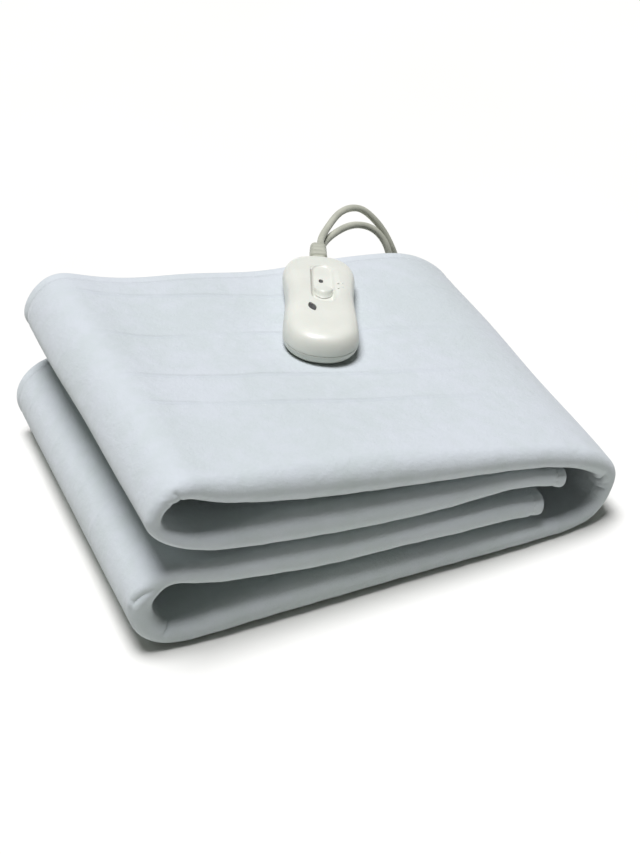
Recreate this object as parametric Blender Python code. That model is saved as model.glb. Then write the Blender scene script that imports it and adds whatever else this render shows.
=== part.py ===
"""Electric heated blanket, folded for the shelf, with its hand controller and cords.

One felt sheet of about 1.5 x 0.6 m is doubled lengthwise, so that every layer
has two plies joined by a soft roll at the front.  The doubled sheet is then
folded back and forth into four layers, named A (top), B, C and D (bottom):
B's free end, left along B, round the upper loop, right along A, round the
right fold, left along D, round the lower loop, and right along C.

Frame: metres, +Z up, +X along the front roll to the right, +Y to the back.
The origin is under the middle of the folded cloth, on the surface it rests on.
"""

import math
from collections import namedtuple

import bpy
import numpy as np
from mathutils import Matrix, Vector
from mathutils.bvhtree import BVHTree

MM = 0.001
GAP = 0.0003                 # left between two pieces that touch
CENTRING = (0.0020, 0.0020, 0.0)   # moves the model, so that the origin is under its middle

# ---------------------------------------------------------------- cloth sizes
SHEET_WIDTH = 0.600          # across the sheet, before it is doubled
PLY = 0.0034                 # thickness of the felt
FRONT_Y = -0.1500            # front-most line of the doubled sheet's roll
BACK_OPENING = 0.75          # how far the plies stand apart at the back, to the roll
ROLL_STEPS = 8               # facets round the front roll
RUN_STEPS = 7                # facets from the roll to the cut edge, each ply
FLAT_STEP = 0.030            # spacing of cross sections on a straight run
BEND_EXTRA = 0.038           # more sections in bends: this times the curvature

# One row for each bend or run of the fold.  x and z are the middle of the
# doubled layer, at the front roll and at the back edge; roll is half the
# distance between the middles of its two plies; recess is how far the roll
# stands back from the front-most line.  A z of None lies on the surface.
Station = namedtuple("Station", "place x z_front z_back roll recess")
FOLD = [
    Station("B free end", 145, 54.0, 58, 5.8, 2),
    Station("B", 113, 64.0, 66, 5.8, 2),
    Station("B", 62, 67.6, 67, 8.8, 1),
    Station("B", 13, 71.0, 69, 11.2, 0),
    Station("B", -52, 77.6, 74, 12.2, 0),
    Station("B", -92, 82.6, 79, 11.4, 0),
    Station("B", -128, 87.6, 84, 8.0, 0),
    Station("upper loop, bottom", -158, 97.0, 92, 4.6, 0),
    Station("upper loop, side", -179, 119.5, 112, 4.0, 1),
    Station("upper loop, top", -160, 140.8, 136, 6.2, 0),
    Station("A", -139, 134.6, 131, 9.2, 0),
    Station("A", -95, 121.8, 115, 13.4, 0),
    Station("A", -52, 113.6, 107, 14.2, 0),
    Station("A", 12, 102.0, 94, 13.2, 0),
    Station("A", 77, 91.0, 90.5, 10.0, 0),
    Station("A", 113, 83.2, 87, 8.4, 1),
    Station("A", 146, 73.6, 80, 7.8, 2),
    Station("A", 170, 61.6, 66, 7.0, 3),
    Station("right fold", 188, 37.0, 38, 6.6, 8),
    Station("right fold, bottom", 172, 12.5, 13, 6.6, 5),
    Station("D", 151, None, None, 6.6, 3),
    Station("D", 110, None, None, 8.6, 1),
    Station("D", 30, None, None, 10.8, 1),
    Station("D", -55, None, None, 13.0, 0),
    Station("D", -110, None, None, 12.8, 0),
    Station("D", -152, None, None, 10.4, 1),
    Station("lower loop, bottom", -180, 15.5, 13, 8.0, 4),
    Station("lower loop, side", -190.5, 37.0, 34, 7.6, 5),
    Station("lower loop, shoulder", -183, 57.0, 52, 6.6, 4),
    Station("lower loop, top", -167, 65.0, 60, 6.6, 2),
    Station("C", -149, 61.6, 57, 8.4, 1),
    Station("C", -107, 54.4, 51, 10.8, 0),
    Station("C", -52, 48.0, 45, 11.2, 0),
    Station("C", 13, 44.6, 42, 10.2, 0),
    Station("C", 60, 41.0, 40, 9.4, 0),
    Station("C", 95, 38.6, 38, 8.6, 1),
    Station("C free end", 128, 33.6, 36, 7.6, 2),
]

# --------------------------------------------------------- controller sizes
# Its own frame: y from the tail end to the nose, x to the right, z up from
# the flat bottom.
CONTROL_LENGTH = 0.152
CONTROL_WIDTH = 0.059
CONTROL_TAIL = (0.0010, -0.0170)         # the tail end, over the cloth
CONTROL_HEADING = math.radians(22.8)     # the nose points this far right of +Y
TAIL_REACH, TAIL_POWER = 0.032, 2.2      # rounded ends: length and fullness
NOSE_REACH, NOSE_POWER = 0.034, 2.7
WAIST, WAIST_Y, WAIST_SPREAD = 0.075, 0.084, 0.026
NOSE_DROP = 0.26                         # the cover is this much lower at the nose
END_SIDES, FLANK_SIDES = 12, 4           # facets round an end and along a flank

Level = namedtuple("Level", "inset height")
BASE_LEVELS = [Level(7.0, 0), Level(3.0, 1.2), Level(1.0, 3.6), Level(0.2, 6.4), Level(0, 8.0)]
COVER_LEVELS = [Level(0, 8.3), Level(0.3, 12.0), Level(1.3, 16.6), Level(3.0, 20.2),
                Level(5.6, 22.6), Level(9.5, 24.1), Level(15, 24.8), Level(21, 25.1)]

SCOOP_CENTRE = (0.0008, 0.0935)          # the slider's long recess
SCOOP_HALF_WIDTH, SCOOP_HALF_LENGTH, SCOOP_FLOOR = 0.0091, 0.0330, 0.0204
SLOT_WIDTH, SLOT_START, SLOT_END, SLOT_DEPTH = 0.0036, 0.0755, 0.0895, 0.0026
WINDOW_CENTRE, WINDOW_HALF = (0.0002, 0.1004), (0.0018, 0.0030)
KNOB_X, KNOB_TAIL, KNOB_LENGTH, KNOB_HALF_WIDTH, KNOB_TOP = 0.0016, 0.0710, 0.0122, 0.0076, 0.0256
KNOB_WIDEST = 0.0100                     # its widest place, ahead of its tail
KNOB_TOE, KNOB_FACE = 0.0009, 0.0044     # its height at the tail, and the steep face's length
TONGUE_WIDTH, TONGUE_LENGTH, TONGUE_PLAY = 0.0026, 0.0030, 0.0010
SLIDER_TRAVEL = 0.009                    # four settings, towards the nose
LENS_CENTRE, LENS_TURN = (-0.0080, 0.0486), math.radians(16)
LENS_HALF_LENGTH, LENS_HALF_WIDTH = 0.0066, 0.0027
LENS_SEAT, LENS_TOP = 0.0210, 0.0252

Section = namedtuple("Section", "place half_width half_height")
SLEEVE_HEIGHT = 0.0125                   # its middle, over the housing's bottom
SLEEVE_ROOT = 0.005                      # length inside the nose
SLEEVE = [Section(-5.0, 6.2, 4.6), Section(0.9, 6.2, 4.6), Section(1.3, 7.2, 6.2),
          Section(10, 7.0, 6.2), Section(19, 6.8, 6.2), Section(20.5, 6.6, 6.1)]

# -------------------------------------------------------------- cord sizes
CORD = 0.006                             # diameter of both leads
CORD_STEP = 0.013                        # spacing of the points along a tube
LEAD_EXIT = (0.0034, -0.0031)            # in the sleeve's end face, from its middle
MAINS_EXIT = (0.0020, 0.0031)

COIL_CENTRE = (0.002, 0.2070)            # the mains lead, wound up behind the blanket
COIL_RADIUS = 0.0330                     # at the middle of its turns
COIL_COLUMNS, COIL_ROWS, TURN_PITCH = 3, 2, 0.0062
TIE_WIDTH, TIE_THICKNESS, TIE_ANGLE = 0.009, 0.0010, math.radians(-55)
COIL_BOTTOM = TIE_THICKNESS + 2 * GAP    # the tie's strap lies under the coil

# Routes past the sleeve, by hand: over the back edge, down and along the surface.
LEAD_ROUTE = [
    (0.0950, 0.1690, 0.1065), (0.1095, 0.1775, 0.1045), (0.1240, 0.1830, 0.1000),
    (0.1370, 0.1825, 0.0930), (0.1450, 0.1770, 0.0825), (0.1475, 0.1700, 0.0680),
    (0.1455, 0.1655, 0.0520), (0.1405, 0.1660, 0.0340), (0.1330, 0.1735, 0.0170),
    (0.1220, 0.1870, 0.0065), (0.1090, 0.2020, 0.0033), (0.0920, 0.2125, 0.0033),
    (0.0750, 0.2100, 0.0033), (0.0630, 0.1970, 0.0038), (0.0570, 0.1800, 0.0058)]
MAINS_ROUTE = [
    (0.0900, 0.1710, 0.1135), (0.1045, 0.1830, 0.1155), (0.1180, 0.1900, 0.1140),
    (0.1300, 0.1925, 0.1090), (0.1395, 0.1905, 0.1000), (0.1475, 0.1855, 0.0880),
    (0.1535, 0.1795, 0.0730), (0.1575, 0.1755, 0.0560), (0.1585, 0.1770, 0.0380),
    (0.1565, 0.1855, 0.0210), (0.1500, 0.2000, 0.0095), (0.1385, 0.2190, 0.0045),
    (0.1210, 0.2370, 0.0033), (0.0980, 0.2490, 0.0033), (0.0700, 0.2535, 0.0033),
    (0.0450, 0.2530, 0.0033), (0.0200, 0.2524, 0.0033)]
TAIL_ROUTE = [
    (-0.0430, 0.2262, 0.0085), (-0.0550, 0.2105, 0.0074), (-0.0660, 0.1952, 0.0071),
    (-0.0785, 0.1835, 0.0071)]
TAIL_ANGLE = math.radians(135)           # where the tail leaves the coil

ENTRY_MIDDLE = (0.0560, 0.1480)          # the fitting between D's plies, at the back edge
ENTRY_HALF = (0.0140, 0.0090, 0.0042)

PLUG_FACE_X, PLUG_Y, PLUG_MIDDLE = -0.1620, 0.1780, 0.0071
PLUG = [Section(60, 3.9, 3.9), Section(41, 5.4, 5.0), Section(38, 7.0, 5.6), Section(30, 11.5, 6.4),
        Section(16, 15.0, 6.8), Section(2, 16.2, 6.8), Section(0, 15.2, 6.2)]
PIN_RADIUS, PIN_LENGTH, PIN_SPACING = 0.0020, 0.0190, 0.0186


# ------------------------------------------------------------------- helpers
def clear_scene():
    for thing in list(bpy.data.objects):
        bpy.data.objects.remove(thing, do_unlink=True)


def material(name, colour, roughness, metallic=0.0):
    made = bpy.data.materials.new(name)
    made.use_nodes = True
    shader = made.node_tree.nodes["Principled BSDF"]
    shader.inputs["Base Color"].default_value = (*colour, 1.0)
    shader.inputs["Roughness"].default_value = roughness
    shader.inputs["Metallic"].default_value = metallic
    return made


def add_object(name, data, finish):
    thing = bpy.data.objects.new(name, data)
    bpy.context.scene.collection.objects.link(thing)
    data.materials.append(finish)
    return thing


def smooth_step(value):
    value = np.clip(value, 0.0, 1.0)
    return value * value * (3.0 - 2.0 * value)


def natural_spline(knots, values, at):
    """Read a natural cubic spline through values (one column each) at the given places."""
    gaps = np.diff(knots)
    count = len(knots)
    system = np.eye(count)
    right = np.zeros_like(values)
    slopes = np.diff(values, axis=0) / gaps[:, None]
    for i in range(1, count - 1):
        system[i, i - 1:i + 2] = gaps[i - 1], 2 * (gaps[i - 1] + gaps[i]), gaps[i]
        right[i] = 6 * (slopes[i] - slopes[i - 1])
    bend = np.linalg.solve(system, right)
    i = np.clip(np.searchsorted(knots, at) - 1, 0, count - 2)
    gap = gaps[i][:, None]
    before = (at - knots[i])[:, None]
    after = gap - before
    return ((bend[i] * after ** 3 + bend[i + 1] * before ** 3) / (6 * gap)
            + (values[i] / gap - bend[i] * gap / 6) * after
            + (values[i + 1] / gap - bend[i + 1] * gap / 6) * before)


def loft(name, rings, finish):
    """A closed solid through rings of equal count, each counter-clockwise seen from the last."""
    count = len(rings[0])
    points = [tuple(p) for ring in rings for p in ring]
    faces = []
    for level in range(len(rings) - 1):
        for i in range(count):
            a, b = level * count + i, level * count + (i + 1) % count
            faces.append((a, b, b + count, a + count))
    faces.append(tuple(reversed(range(count))))
    faces.append(tuple(range(len(points) - count, len(points))))
    mesh = bpy.data.meshes.new(name)
    mesh.from_pydata(points, [], faces)
    mesh.shade_smooth()
    mesh.set_sharp_from_angle(angle=math.radians(35))
    return add_object(name, mesh, finish)


def cutter(name, rings, place):
    """A guide solid for a Boolean, left out of the model."""
    tool = loft(name, rings, material(name, (0.5, 0.5, 0.5), 0.5))
    tool.matrix_world = place
    tool.hide_render = True
    tool.display_type = "WIRE"
    return tool


def boolean(thing, tool, operation="DIFFERENCE"):
    step = thing.modifiers.new(tool.name, "BOOLEAN")
    step.operation = operation
    step.object = tool
    step.solver = "EXACT"


def stadium(centre, half_width, half_length, height, grow=0.0, steps=8):
    """A slot-shaped ring along y, widened by grow."""
    radius = half_width + grow
    straight = half_length - half_width
    ring = []
    for end in (1, -1):
        for i in range(steps + 1):
            angle = math.pi * i / steps + (0 if end > 0 else math.pi)
            ring.append((centre[0] + radius * math.cos(angle),
                         centre[1] + end * straight + radius * math.sin(angle), height))
    return ring


def rounded_box(half_x, half_y, corner, steps=3):
    """A rectangle with round corners, as (x, y) points, counter-clockwise."""
    ring = []
    for sx, sy, start in ((1, 1, 0), (-1, 1, 1), (-1, -1, 2), (1, -1, 3)):
        for i in range(steps + 1):
            angle = (start + i / steps) * math.pi / 2
            ring.append((sx * (half_x - corner) + corner * math.cos(angle),
                         sy * (half_y - corner) + corner * math.sin(angle)))
    return ring


# --------------------------------------------------------------------- cloth
def fold_sections():
    """Cross sections along the fold: x, z_front, z_back, roll and recess, in metres."""
    rows = []
    for row in FOLD:
        on_surface = row.z_front is None
        z_front = row.roll + PLY / MM / 2 if on_surface else row.z_front
        z_back = row.roll * BACK_OPENING + PLY / MM / 2 if on_surface else row.z_back
        rows.append((row.x, z_front, z_back, row.roll, row.recess))
    rows = np.array(rows) * MM
    knots = np.r_[0, np.cumsum(np.hypot(*np.diff(rows[:, :2], axis=0).T))]
    fine = np.linspace(0, knots[-1], 2000)
    path = natural_spline(knots, rows, fine)
    step = np.diff(path[:, :2], axis=0)
    length = np.hypot(*step.T)
    turn = np.abs(np.diff(np.unwrap(np.arctan2(step[:, 1], step[:, 0]))))
    effort = np.r_[0, np.cumsum(length / FLAT_STEP + np.r_[0, turn] * BEND_EXTRA / FLAT_STEP)]
    places = np.interp(np.linspace(0, effort[-1], round(effort[-1])), effort, fine)
    sections = natural_spline(knots, rows, places)
    lying = [knot for knot, row in zip(knots, FOLD) if row.z_front is None]
    flat = (places >= lying[0]) & (places <= lying[-1])
    sections[flat, 1] = sections[flat, 3] + PLY / 2
    sections[flat, 2] = sections[flat, 3] * BACK_OPENING + PLY / 2
    return sections


def hairpin_columns():
    """Places across the sheet: (roll angle, None) on the roll, (side, share of the run) past it."""
    run = [(i / RUN_STEPS) for i in range(1, RUN_STEPS + 1)]
    under = [(-1, share) for share in reversed(run)]
    over = [(1, share) for share in run]
    roll = [(math.pi * (i / ROLL_STEPS - 0.5), None) for i in range(ROLL_STEPS + 1)]
    return under + roll + over


def build_cloth(finish):
    sections = fold_sections()
    x, z_front, z_back, roll, recess = sections.T
    depth = SHEET_WIDTH / 2
    columns = []
    for first, share in hairpin_columns():
        if share is None:
            back = roll * (1 - math.cos(first))
            rise = roll * math.sin(first)
        else:
            back = roll + share * (depth - roll * math.pi / 2)
            rise = first * roll
        blend = smooth_step(back / depth)
        back = back + recess * (1 - blend)
        if share is not None:
            rise = rise * (1 - (1 - BACK_OPENING) * blend)
        z = z_front + (z_back - z_front) * blend
        along = np.stack([np.gradient(x), np.gradient(z)])
        along = along / np.hypot(*along)
        px = x - along[1] * rise
        pz = np.maximum(z + along[0] * rise, PLY / 2)
        columns.append(np.stack([px, FRONT_Y + back, pz], axis=1))
    grid = np.stack(columns, axis=1)
    rows, across = grid.shape[:2]
    faces = [(i * across + j, (i + 1) * across + j, (i + 1) * across + j + 1, i * across + j + 1)
             for i in range(rows - 1) for j in range(across - 1)]
    mesh = bpy.data.meshes.new("blanket_cloth")
    mesh.from_pydata([tuple(p) for p in grid.reshape(-1, 3)], [], faces)
    mesh.shade_smooth()
    cloth = add_object("blanket_cloth", mesh, finish)
    thickness = cloth.modifiers.new("felt", "SOLIDIFY")
    thickness.thickness = PLY
    thickness.offset = 0.0
    thickness.use_rim = True
    return cloth


# ---------------------------------------------------------------- controller
def housing_outline(inset):
    """Plan outline of the housing, drawn in by inset, counter-clockwise from the right flank."""
    half = CONTROL_WIDTH / 2 - inset
    nose_y, tail_y = CONTROL_LENGTH - NOSE_REACH, TAIL_REACH
    outline = []
    for middle, reach, power, sense in ((nose_y, NOSE_REACH - inset, NOSE_POWER, 1),
                                        (tail_y, TAIL_REACH - inset, TAIL_POWER, -1)):
        for i in range(END_SIDES + 1):
            angle = math.pi * i / END_SIDES
            c, s = math.cos(angle), math.sin(angle)
            x = sense * half * math.copysign(abs(c) ** (2 / power), c)
            outline.append((x, middle + sense * reach * s ** (2 / power)))
        for i in range(1, FLANK_SIDES):
            share = i / FLANK_SIDES
            outline.append((-sense * half, middle + share * sense * (tail_y - nose_y)))
    waisted = []
    for x, y in outline:
        pinch = WAIST * math.exp(-((y - WAIST_Y) / WAIST_SPREAD) ** 2)
        waisted.append((x * (1 - pinch), y))
    return waisted


def housing_rings(levels, drop):
    """Rings of a housing half; the nose end of each is lowered by the share drop."""
    foot = levels[0].height * MM
    rings = []
    for level in levels:
        ring = []
        for x, y in housing_outline(level.inset * MM):
            lower = drop * smooth_step((y / CONTROL_LENGTH - 0.45) / 0.55)
            ring.append((x, y, foot + (level.height * MM - foot) * (1 - lower)))
        rings.append(ring)
    return rings


def sleeve_rings(grow=0.0, sections=SLEEVE):
    """Rings of the cord sleeve, square to y, counter-clockwise seen from its far end."""
    rings = []
    for section in sections:
        outline = rounded_box(section.half_width * MM + grow, section.half_height * MM + grow, 0.0035)
        y = CONTROL_LENGTH + section.place * MM
        rings.append([(-x, y, SLEEVE_HEIGHT + z) for x, z in outline])
    return rings


def knob_height(x, y):
    """The slider's top: a steep face round its tail, then a crown that falls to its sides."""
    side = min(abs(x) / KNOB_HALF_WIDTH, 1.0)
    edge = KNOB_WIDEST * (1 - math.sqrt(1 - side ** 2))
    climb = smooth_step((y - edge) / KNOB_FACE) * (1 - 0.35 * side ** 2)
    return SCOOP_FLOOR + KNOB_TOE + (KNOB_TOP - SCOOP_FLOOR - KNOB_TOE) * climb


def knob_ring(inset, below_top=None):
    """The slider's outline, a deep arc at the tail and a flat one at the nose; on its floor or under its top."""
    half = KNOB_HALF_WIDTH - inset
    ring = []
    for i in range(26):
        angle = 2 * math.pi * i / 26
        reach = (KNOB_LENGTH - KNOB_WIDEST if math.sin(angle) > 0 else KNOB_WIDEST) - inset
        x, y = half * math.cos(angle), KNOB_WIDEST + max(reach, 0.0003) * math.sin(angle)
        height = SCOOP_FLOOR + GAP if below_top is None else knob_height(x, y) - below_top
        ring.append((KNOB_X + x, KNOB_TAIL + y, height))
    return ring


def lens_ring(height, grow=0.0):
    ring = []
    for i in range(16):
        angle = 2 * math.pi * i / 16
        along = (LENS_HALF_LENGTH + grow) * math.cos(angle)
        across = (LENS_HALF_WIDTH + grow) * math.copysign(abs(math.sin(angle)) ** 1.3, math.sin(angle))
        x = LENS_CENTRE[0] + across * math.cos(LENS_TURN) - along * math.sin(LENS_TURN)
        y = LENS_CENTRE[1] + along * math.cos(LENS_TURN) + across * math.sin(LENS_TURN)
        ring.append((x, y, height))
    return list(reversed(ring))


def seat_on_cloth(cloth):
    """The controller's place: flat on the cloth's top, fitted to it and one gap above it."""
    bpy.context.view_layer.update()
    tree = BVHTree.FromObject(cloth, bpy.context.evaluated_depsgraph_get())
    turn = Matrix.Rotation(-CONTROL_HEADING, 3, "Z")
    start = Vector((*CONTROL_TAIL, 0.3))
    down = Vector((0, 0, -1))
    hits = []
    for share in np.linspace(0.05, 1.0, 12):
        for x, y in housing_outline(0.007 + 0.018 * (1 - share)):
            spot = start + turn @ Vector((x, y, 0))
            hits.append(tree.ray_cast(spot, down)[0])
    hits = np.array([tuple(hit) for hit in hits])
    fit = np.linalg.lstsq(np.c_[hits[:, :2], np.ones(len(hits))], hits[:, 2], rcond=None)[0]
    up = Vector((-fit[0], -fit[1], 1)).normalized()
    forward = turn @ Vector((0, 1, 0))
    forward = (forward - up * forward.dot(up)).normalized()
    right = forward.cross(up)
    tail = Vector((*CONTROL_TAIL, fit @ np.array([*CONTROL_TAIL, 1.0])))
    lift = max((Vector(hit) - tail).dot(up) for hit in hits) + GAP
    tail = tail + up * lift
    return Matrix((
        (right.x, forward.x, up.x, tail.x),
        (right.y, forward.y, up.y, tail.y),
        (right.z, forward.z, up.z, tail.z),
        (0, 0, 0, 1)))


def build_controller(place, shell, lens_finish, rubber):
    base = loft("controller_base", housing_rings(BASE_LEVELS, 0), shell)
    cover = loft("controller_cover", housing_rings(COVER_LEVELS, NOSE_DROP), shell)
    scoop = cutter("scoop_cutter", [
        stadium(SCOOP_CENTRE, SCOOP_HALF_WIDTH, SCOOP_HALF_LENGTH, SCOOP_FLOOR + rise, grow)
        for rise, grow in ((0, -0.0008), (0.0007, 0), (0.0110, 0.0009))], place)
    slot_centre = (KNOB_X, (SLOT_START + SLOT_END) / 2)
    slot = cutter("slot_cutter", [
        stadium(slot_centre, SLOT_WIDTH / 2, (SLOT_END - SLOT_START) / 2, height)
        for height in (SCOOP_FLOOR - SLOT_DEPTH, SCOOP_FLOOR + 0.001)], place)
    window = cutter("window_cutter", [
        stadium(WINDOW_CENTRE, *WINDOW_HALF, height)
        for height in (SCOOP_FLOOR - 0.0018, SCOOP_FLOOR + 0.001)], place)
    lens_seat = cutter("lens_cutter", [lens_ring(LENS_SEAT - GAP, GAP), lens_ring(0.03, GAP)], place)
    root = [Section(-(SLEEVE_ROOT + GAP) / MM, 6.2, 4.6), Section(12, 6.2, 4.6)]
    socket = cutter("sleeve_cutter", sleeve_rings(GAP, root), place)
    for tool in (scoop, slot, window, lens_seat, socket):
        boolean(cover, tool)
    boolean(base, socket)
    knob = loft("slider_knob", [knob_ring(0.0002), knob_ring(0, 0.0003), knob_ring(0.0004, 0),
                                knob_ring(0.0012, 0), knob_ring(0.0022, 0), knob_ring(0.0036, 0),
                                knob_ring(0.0055, 0)], shell)
    tongue_middle = SLOT_START + TONGUE_PLAY + TONGUE_LENGTH / 2
    tongue = cutter("tongue", [
        [(KNOB_X + x, tongue_middle + y, height)
         for x, y in rounded_box(TONGUE_WIDTH / 2, TONGUE_LENGTH / 2, 0.0006)]
        for height in (SCOOP_FLOOR - SLOT_DEPTH + GAP, SCOOP_FLOOR + 0.002)], place)
    boolean(knob, tongue, "UNION")
    lens = loft("indicator_lens", [lens_ring(LENS_SEAT), lens_ring(LENS_TOP - 0.0006),
                                   lens_ring(LENS_TOP, -0.0008)], lens_finish)
    sleeve = loft("cord_sleeve", sleeve_rings(), rubber)
    for piece in (base, cover, knob, lens, sleeve):
        piece.matrix_world = place


# --------------------------------------------------------------------- cords
def smooth_route(points):
    """Points about CORD_STEP apart on a smooth curve through the route's own points."""
    points = np.array([tuple(p) for p in points])
    knots = np.r_[0, np.cumsum(np.linalg.norm(np.diff(points, axis=0), axis=1))]
    count = round(knots[-1] / CORD_STEP) + 1
    return natural_spline(knots, points, np.linspace(0, knots[-1], count))


def build_tube(name, points, finish):
    curve = bpy.data.curves.new(name, "CURVE")
    curve.dimensions = "3D"
    curve.bevel_depth = CORD / 2
    curve.bevel_resolution = 2
    curve.use_fill_caps = True
    spline = curve.splines.new("POLY")
    route = smooth_route(points)
    spline.points.add(len(route) - 1)
    for point, place in zip(spline.points, route):
        point.co = (*place, 1)
    return add_object(name, curve, finish)


def cord_start(place, offset):
    """Two points that leave the sleeve's end face squarely, the first a gap off it."""
    end_y = CONTROL_LENGTH + SLEEVE[-1].place * MM
    return [place @ Vector((offset[0], end_y + out, SLEEVE_HEIGHT + offset[1]))
            for out in (GAP, 0.006)]


def coil_outer():
    return COIL_RADIUS + (COIL_COLUMNS - 1) / 2 * TURN_PITCH + CORD / 2


def coil_height():
    return (COIL_ROWS - 1) * TURN_PITCH + CORD


def beside_coil(angle, height, along=0.0):
    """A point on the cord's line that touches the coil at an angle, further along its winding."""
    reach = coil_outer() + CORD / 2 + GAP
    return (COIL_CENTRE[0] + reach * math.cos(angle) - along * math.sin(angle),
            COIL_CENTRE[1] + reach * math.sin(angle) + along * math.cos(angle), height)


def build_coil(finish, strap):
    width = coil_outer() - COIL_RADIUS
    outline = rounded_box(width, coil_height() / 2, CORD / 2, steps=2)
    rings = []
    steps = 40
    for i in range(steps):
        angle = 2 * math.pi * i / steps
        ring = [(COIL_CENTRE[0] + (COIL_RADIUS + out) * math.cos(angle),
                 COIL_CENTRE[1] + (COIL_RADIUS + out) * math.sin(angle),
                 COIL_BOTTOM + coil_height() / 2 + up) for out, up in outline]
        rings.append(ring)
    count = len(outline)
    points = [point for ring in rings for point in ring]
    faces = []
    for i in range(steps):
        for j in range(count):
            a, b = i * count + j, i * count + (j + 1) % count
            c, d = (i + 1) % steps * count + (j + 1) % count, (i + 1) % steps * count + j
            faces.append((a, d, c, b))
    mesh = bpy.data.meshes.new("mains_coil")
    mesh.from_pydata(points, [], faces)
    mesh.shade_smooth()
    add_object("mains_coil", mesh, finish)

    # The tie: a flat strap once round the coil's section, with a round turn at each corner.
    slack_out, slack_up, slack_in = GAP, GAP, 0.0010
    inner = rounded_box(width + (slack_out + slack_in) / 2, coil_height() / 2 + slack_up, 0.0025)
    shift = (slack_out - slack_in) / 2
    outer = rounded_box(width + (slack_out + slack_in) / 2 + TIE_THICKNESS,
                        coil_height() / 2 + slack_up + TIE_THICKNESS, 0.0033)
    across = Vector((-math.sin(TIE_ANGLE), math.cos(TIE_ANGLE), 0))
    away = Vector((math.cos(TIE_ANGLE), math.sin(TIE_ANGLE), 0))
    middle = Vector((*COIL_CENTRE, COIL_BOTTOM + coil_height() / 2)) + away * (COIL_RADIUS + shift)
    loops = []
    for outline, side in ((outer, -1), (outer, 1), (inner, 1), (inner, -1)):
        loops.append([middle + away * x + Vector((0, 0, z)) + across * side * TIE_WIDTH / 2
                      for x, z in outline])
    count = len(outer)
    points = [tuple(p) for loop in loops for p in loop]
    faces = []
    for level in range(4):
        for i in range(count):
            j = (i + 1) % count
            here, there = level * count, (level + 1) % 4 * count
            faces.append((here + j, here + i, there + i, there + j))
    mesh = bpy.data.meshes.new("coil_tie")
    mesh.from_pydata(points, [], faces)
    add_object("coil_tie", mesh, strap)


def build_plug(rubber, metal):
    rings = []
    for section in PLUG:
        outline = rounded_box(section.half_width * MM, section.half_height * MM,
                              min(section.half_height * MM * 0.9, 0.0045))
        rings.append([(PLUG_FACE_X + section.place * MM, PLUG_Y - y, PLUG_MIDDLE + z)
                      for y, z in outline])
    loft("plug_body", rings, rubber)
    for side, name in ((-1, "plug_pin_front"), (1, "plug_pin_back")):
        rings = []
        for out, radius in ((GAP, PIN_RADIUS), (PIN_LENGTH - 0.001, PIN_RADIUS),
                            (PIN_LENGTH, PIN_RADIUS * 0.6)):
            rings.append([(PLUG_FACE_X - out,
                           PLUG_Y + side * PIN_SPACING / 2 + radius * math.cos(2 * math.pi * i / 12),
                           PLUG_MIDDLE - radius * math.sin(2 * math.pi * i / 12)) for i in range(12)])
        loft(name, rings, metal)


def build_entry(rubber):
    """The lead's flat moulded fitting, lying on D's lower ply at the back edge."""
    half_x, half_y, half_z = ENTRY_HALF
    x, y = ENTRY_MIDDLE
    bottom = PLY + GAP
    loft("lead_entry", [[(x + px, y + py, bottom + height) for px, py in rounded_box(
        half_x - inset, half_y - inset, 0.003)]
        for inset, height in ((0.0008, 0), (0, 0.0010), (0, 2 * half_z - 0.0016), (0.0014, 2 * half_z))],
        rubber)
    return Vector((x, y + half_y + GAP, bottom + half_z))


def build_cords(place, rubber, metal):
    entry = build_entry(rubber)
    lead = cord_start(place, LEAD_EXIT) + LEAD_ROUTE + [entry + Vector((0, 0.008, 0)), entry]
    build_tube("blanket_lead", lead, rubber)
    floor = CORD / 2 + GAP
    mains = cord_start(place, MAINS_EXIT) + MAINS_ROUTE + [beside_coil(math.pi / 2, floor)]
    build_tube("mains_lead", mains, rubber)
    top = COIL_BOTTOM + coil_height() - CORD / 2
    plug_end = Vector((PLUG_FACE_X + PLUG[0].place * MM + GAP, PLUG_Y, PLUG_MIDDLE))
    tail = [beside_coil(TAIL_ANGLE, top)] + TAIL_ROUTE + [plug_end + Vector((0.008, 0, 0)), plug_end]
    build_tube("mains_tail", tail, rubber)
    build_coil(rubber, material("tie_strap", (0.75, 0.75, 0.72), 0.6))
    build_plug(rubber, metal)


def main():
    clear_scene()
    felt = material("felt", (0.72, 0.75, 0.78), 0.95)
    shell = material("housing_plastic", (0.80, 0.80, 0.76), 0.35)
    dark_lens = material("indicator_lens", (0.10, 0.10, 0.10), 0.2)
    rubber = material("cord_rubber", (0.58, 0.57, 0.52), 0.5)
    cloth = build_cloth(felt)
    place = seat_on_cloth(cloth)
    build_controller(place, shell, dark_lens, rubber)
    build_cords(place, rubber, material("pin_metal", (0.75, 0.72, 0.62), 0.25, 1.0))
    bundle = bpy.data.objects.new("bundle", None)
    bundle.location = CENTRING
    for thing in list(bpy.context.scene.objects):
        thing.parent = bundle
    bpy.context.scene.collection.objects.link(bundle)


if __name__ == "__main__":
    main()
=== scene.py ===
"""Electric heated blanket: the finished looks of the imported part.

Laid out as a Blender add-on and run as a script.  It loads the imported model,
makes the folded felt, the hand controller, the cords and the plug in finer
form, gives every piece its material and sets a plain studio stage.

Metres, +Z up, +X along the front rolls to the right, +Y to the open back.
"""

import math
from collections import namedtuple
from contextlib import contextmanager

import bmesh
import bpy
import numpy as np
from bpy.props import FloatProperty, FloatVectorProperty, PointerProperty
from mathutils import Color, Matrix, Vector
from mathutils.bvhtree import BVHTree


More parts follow.
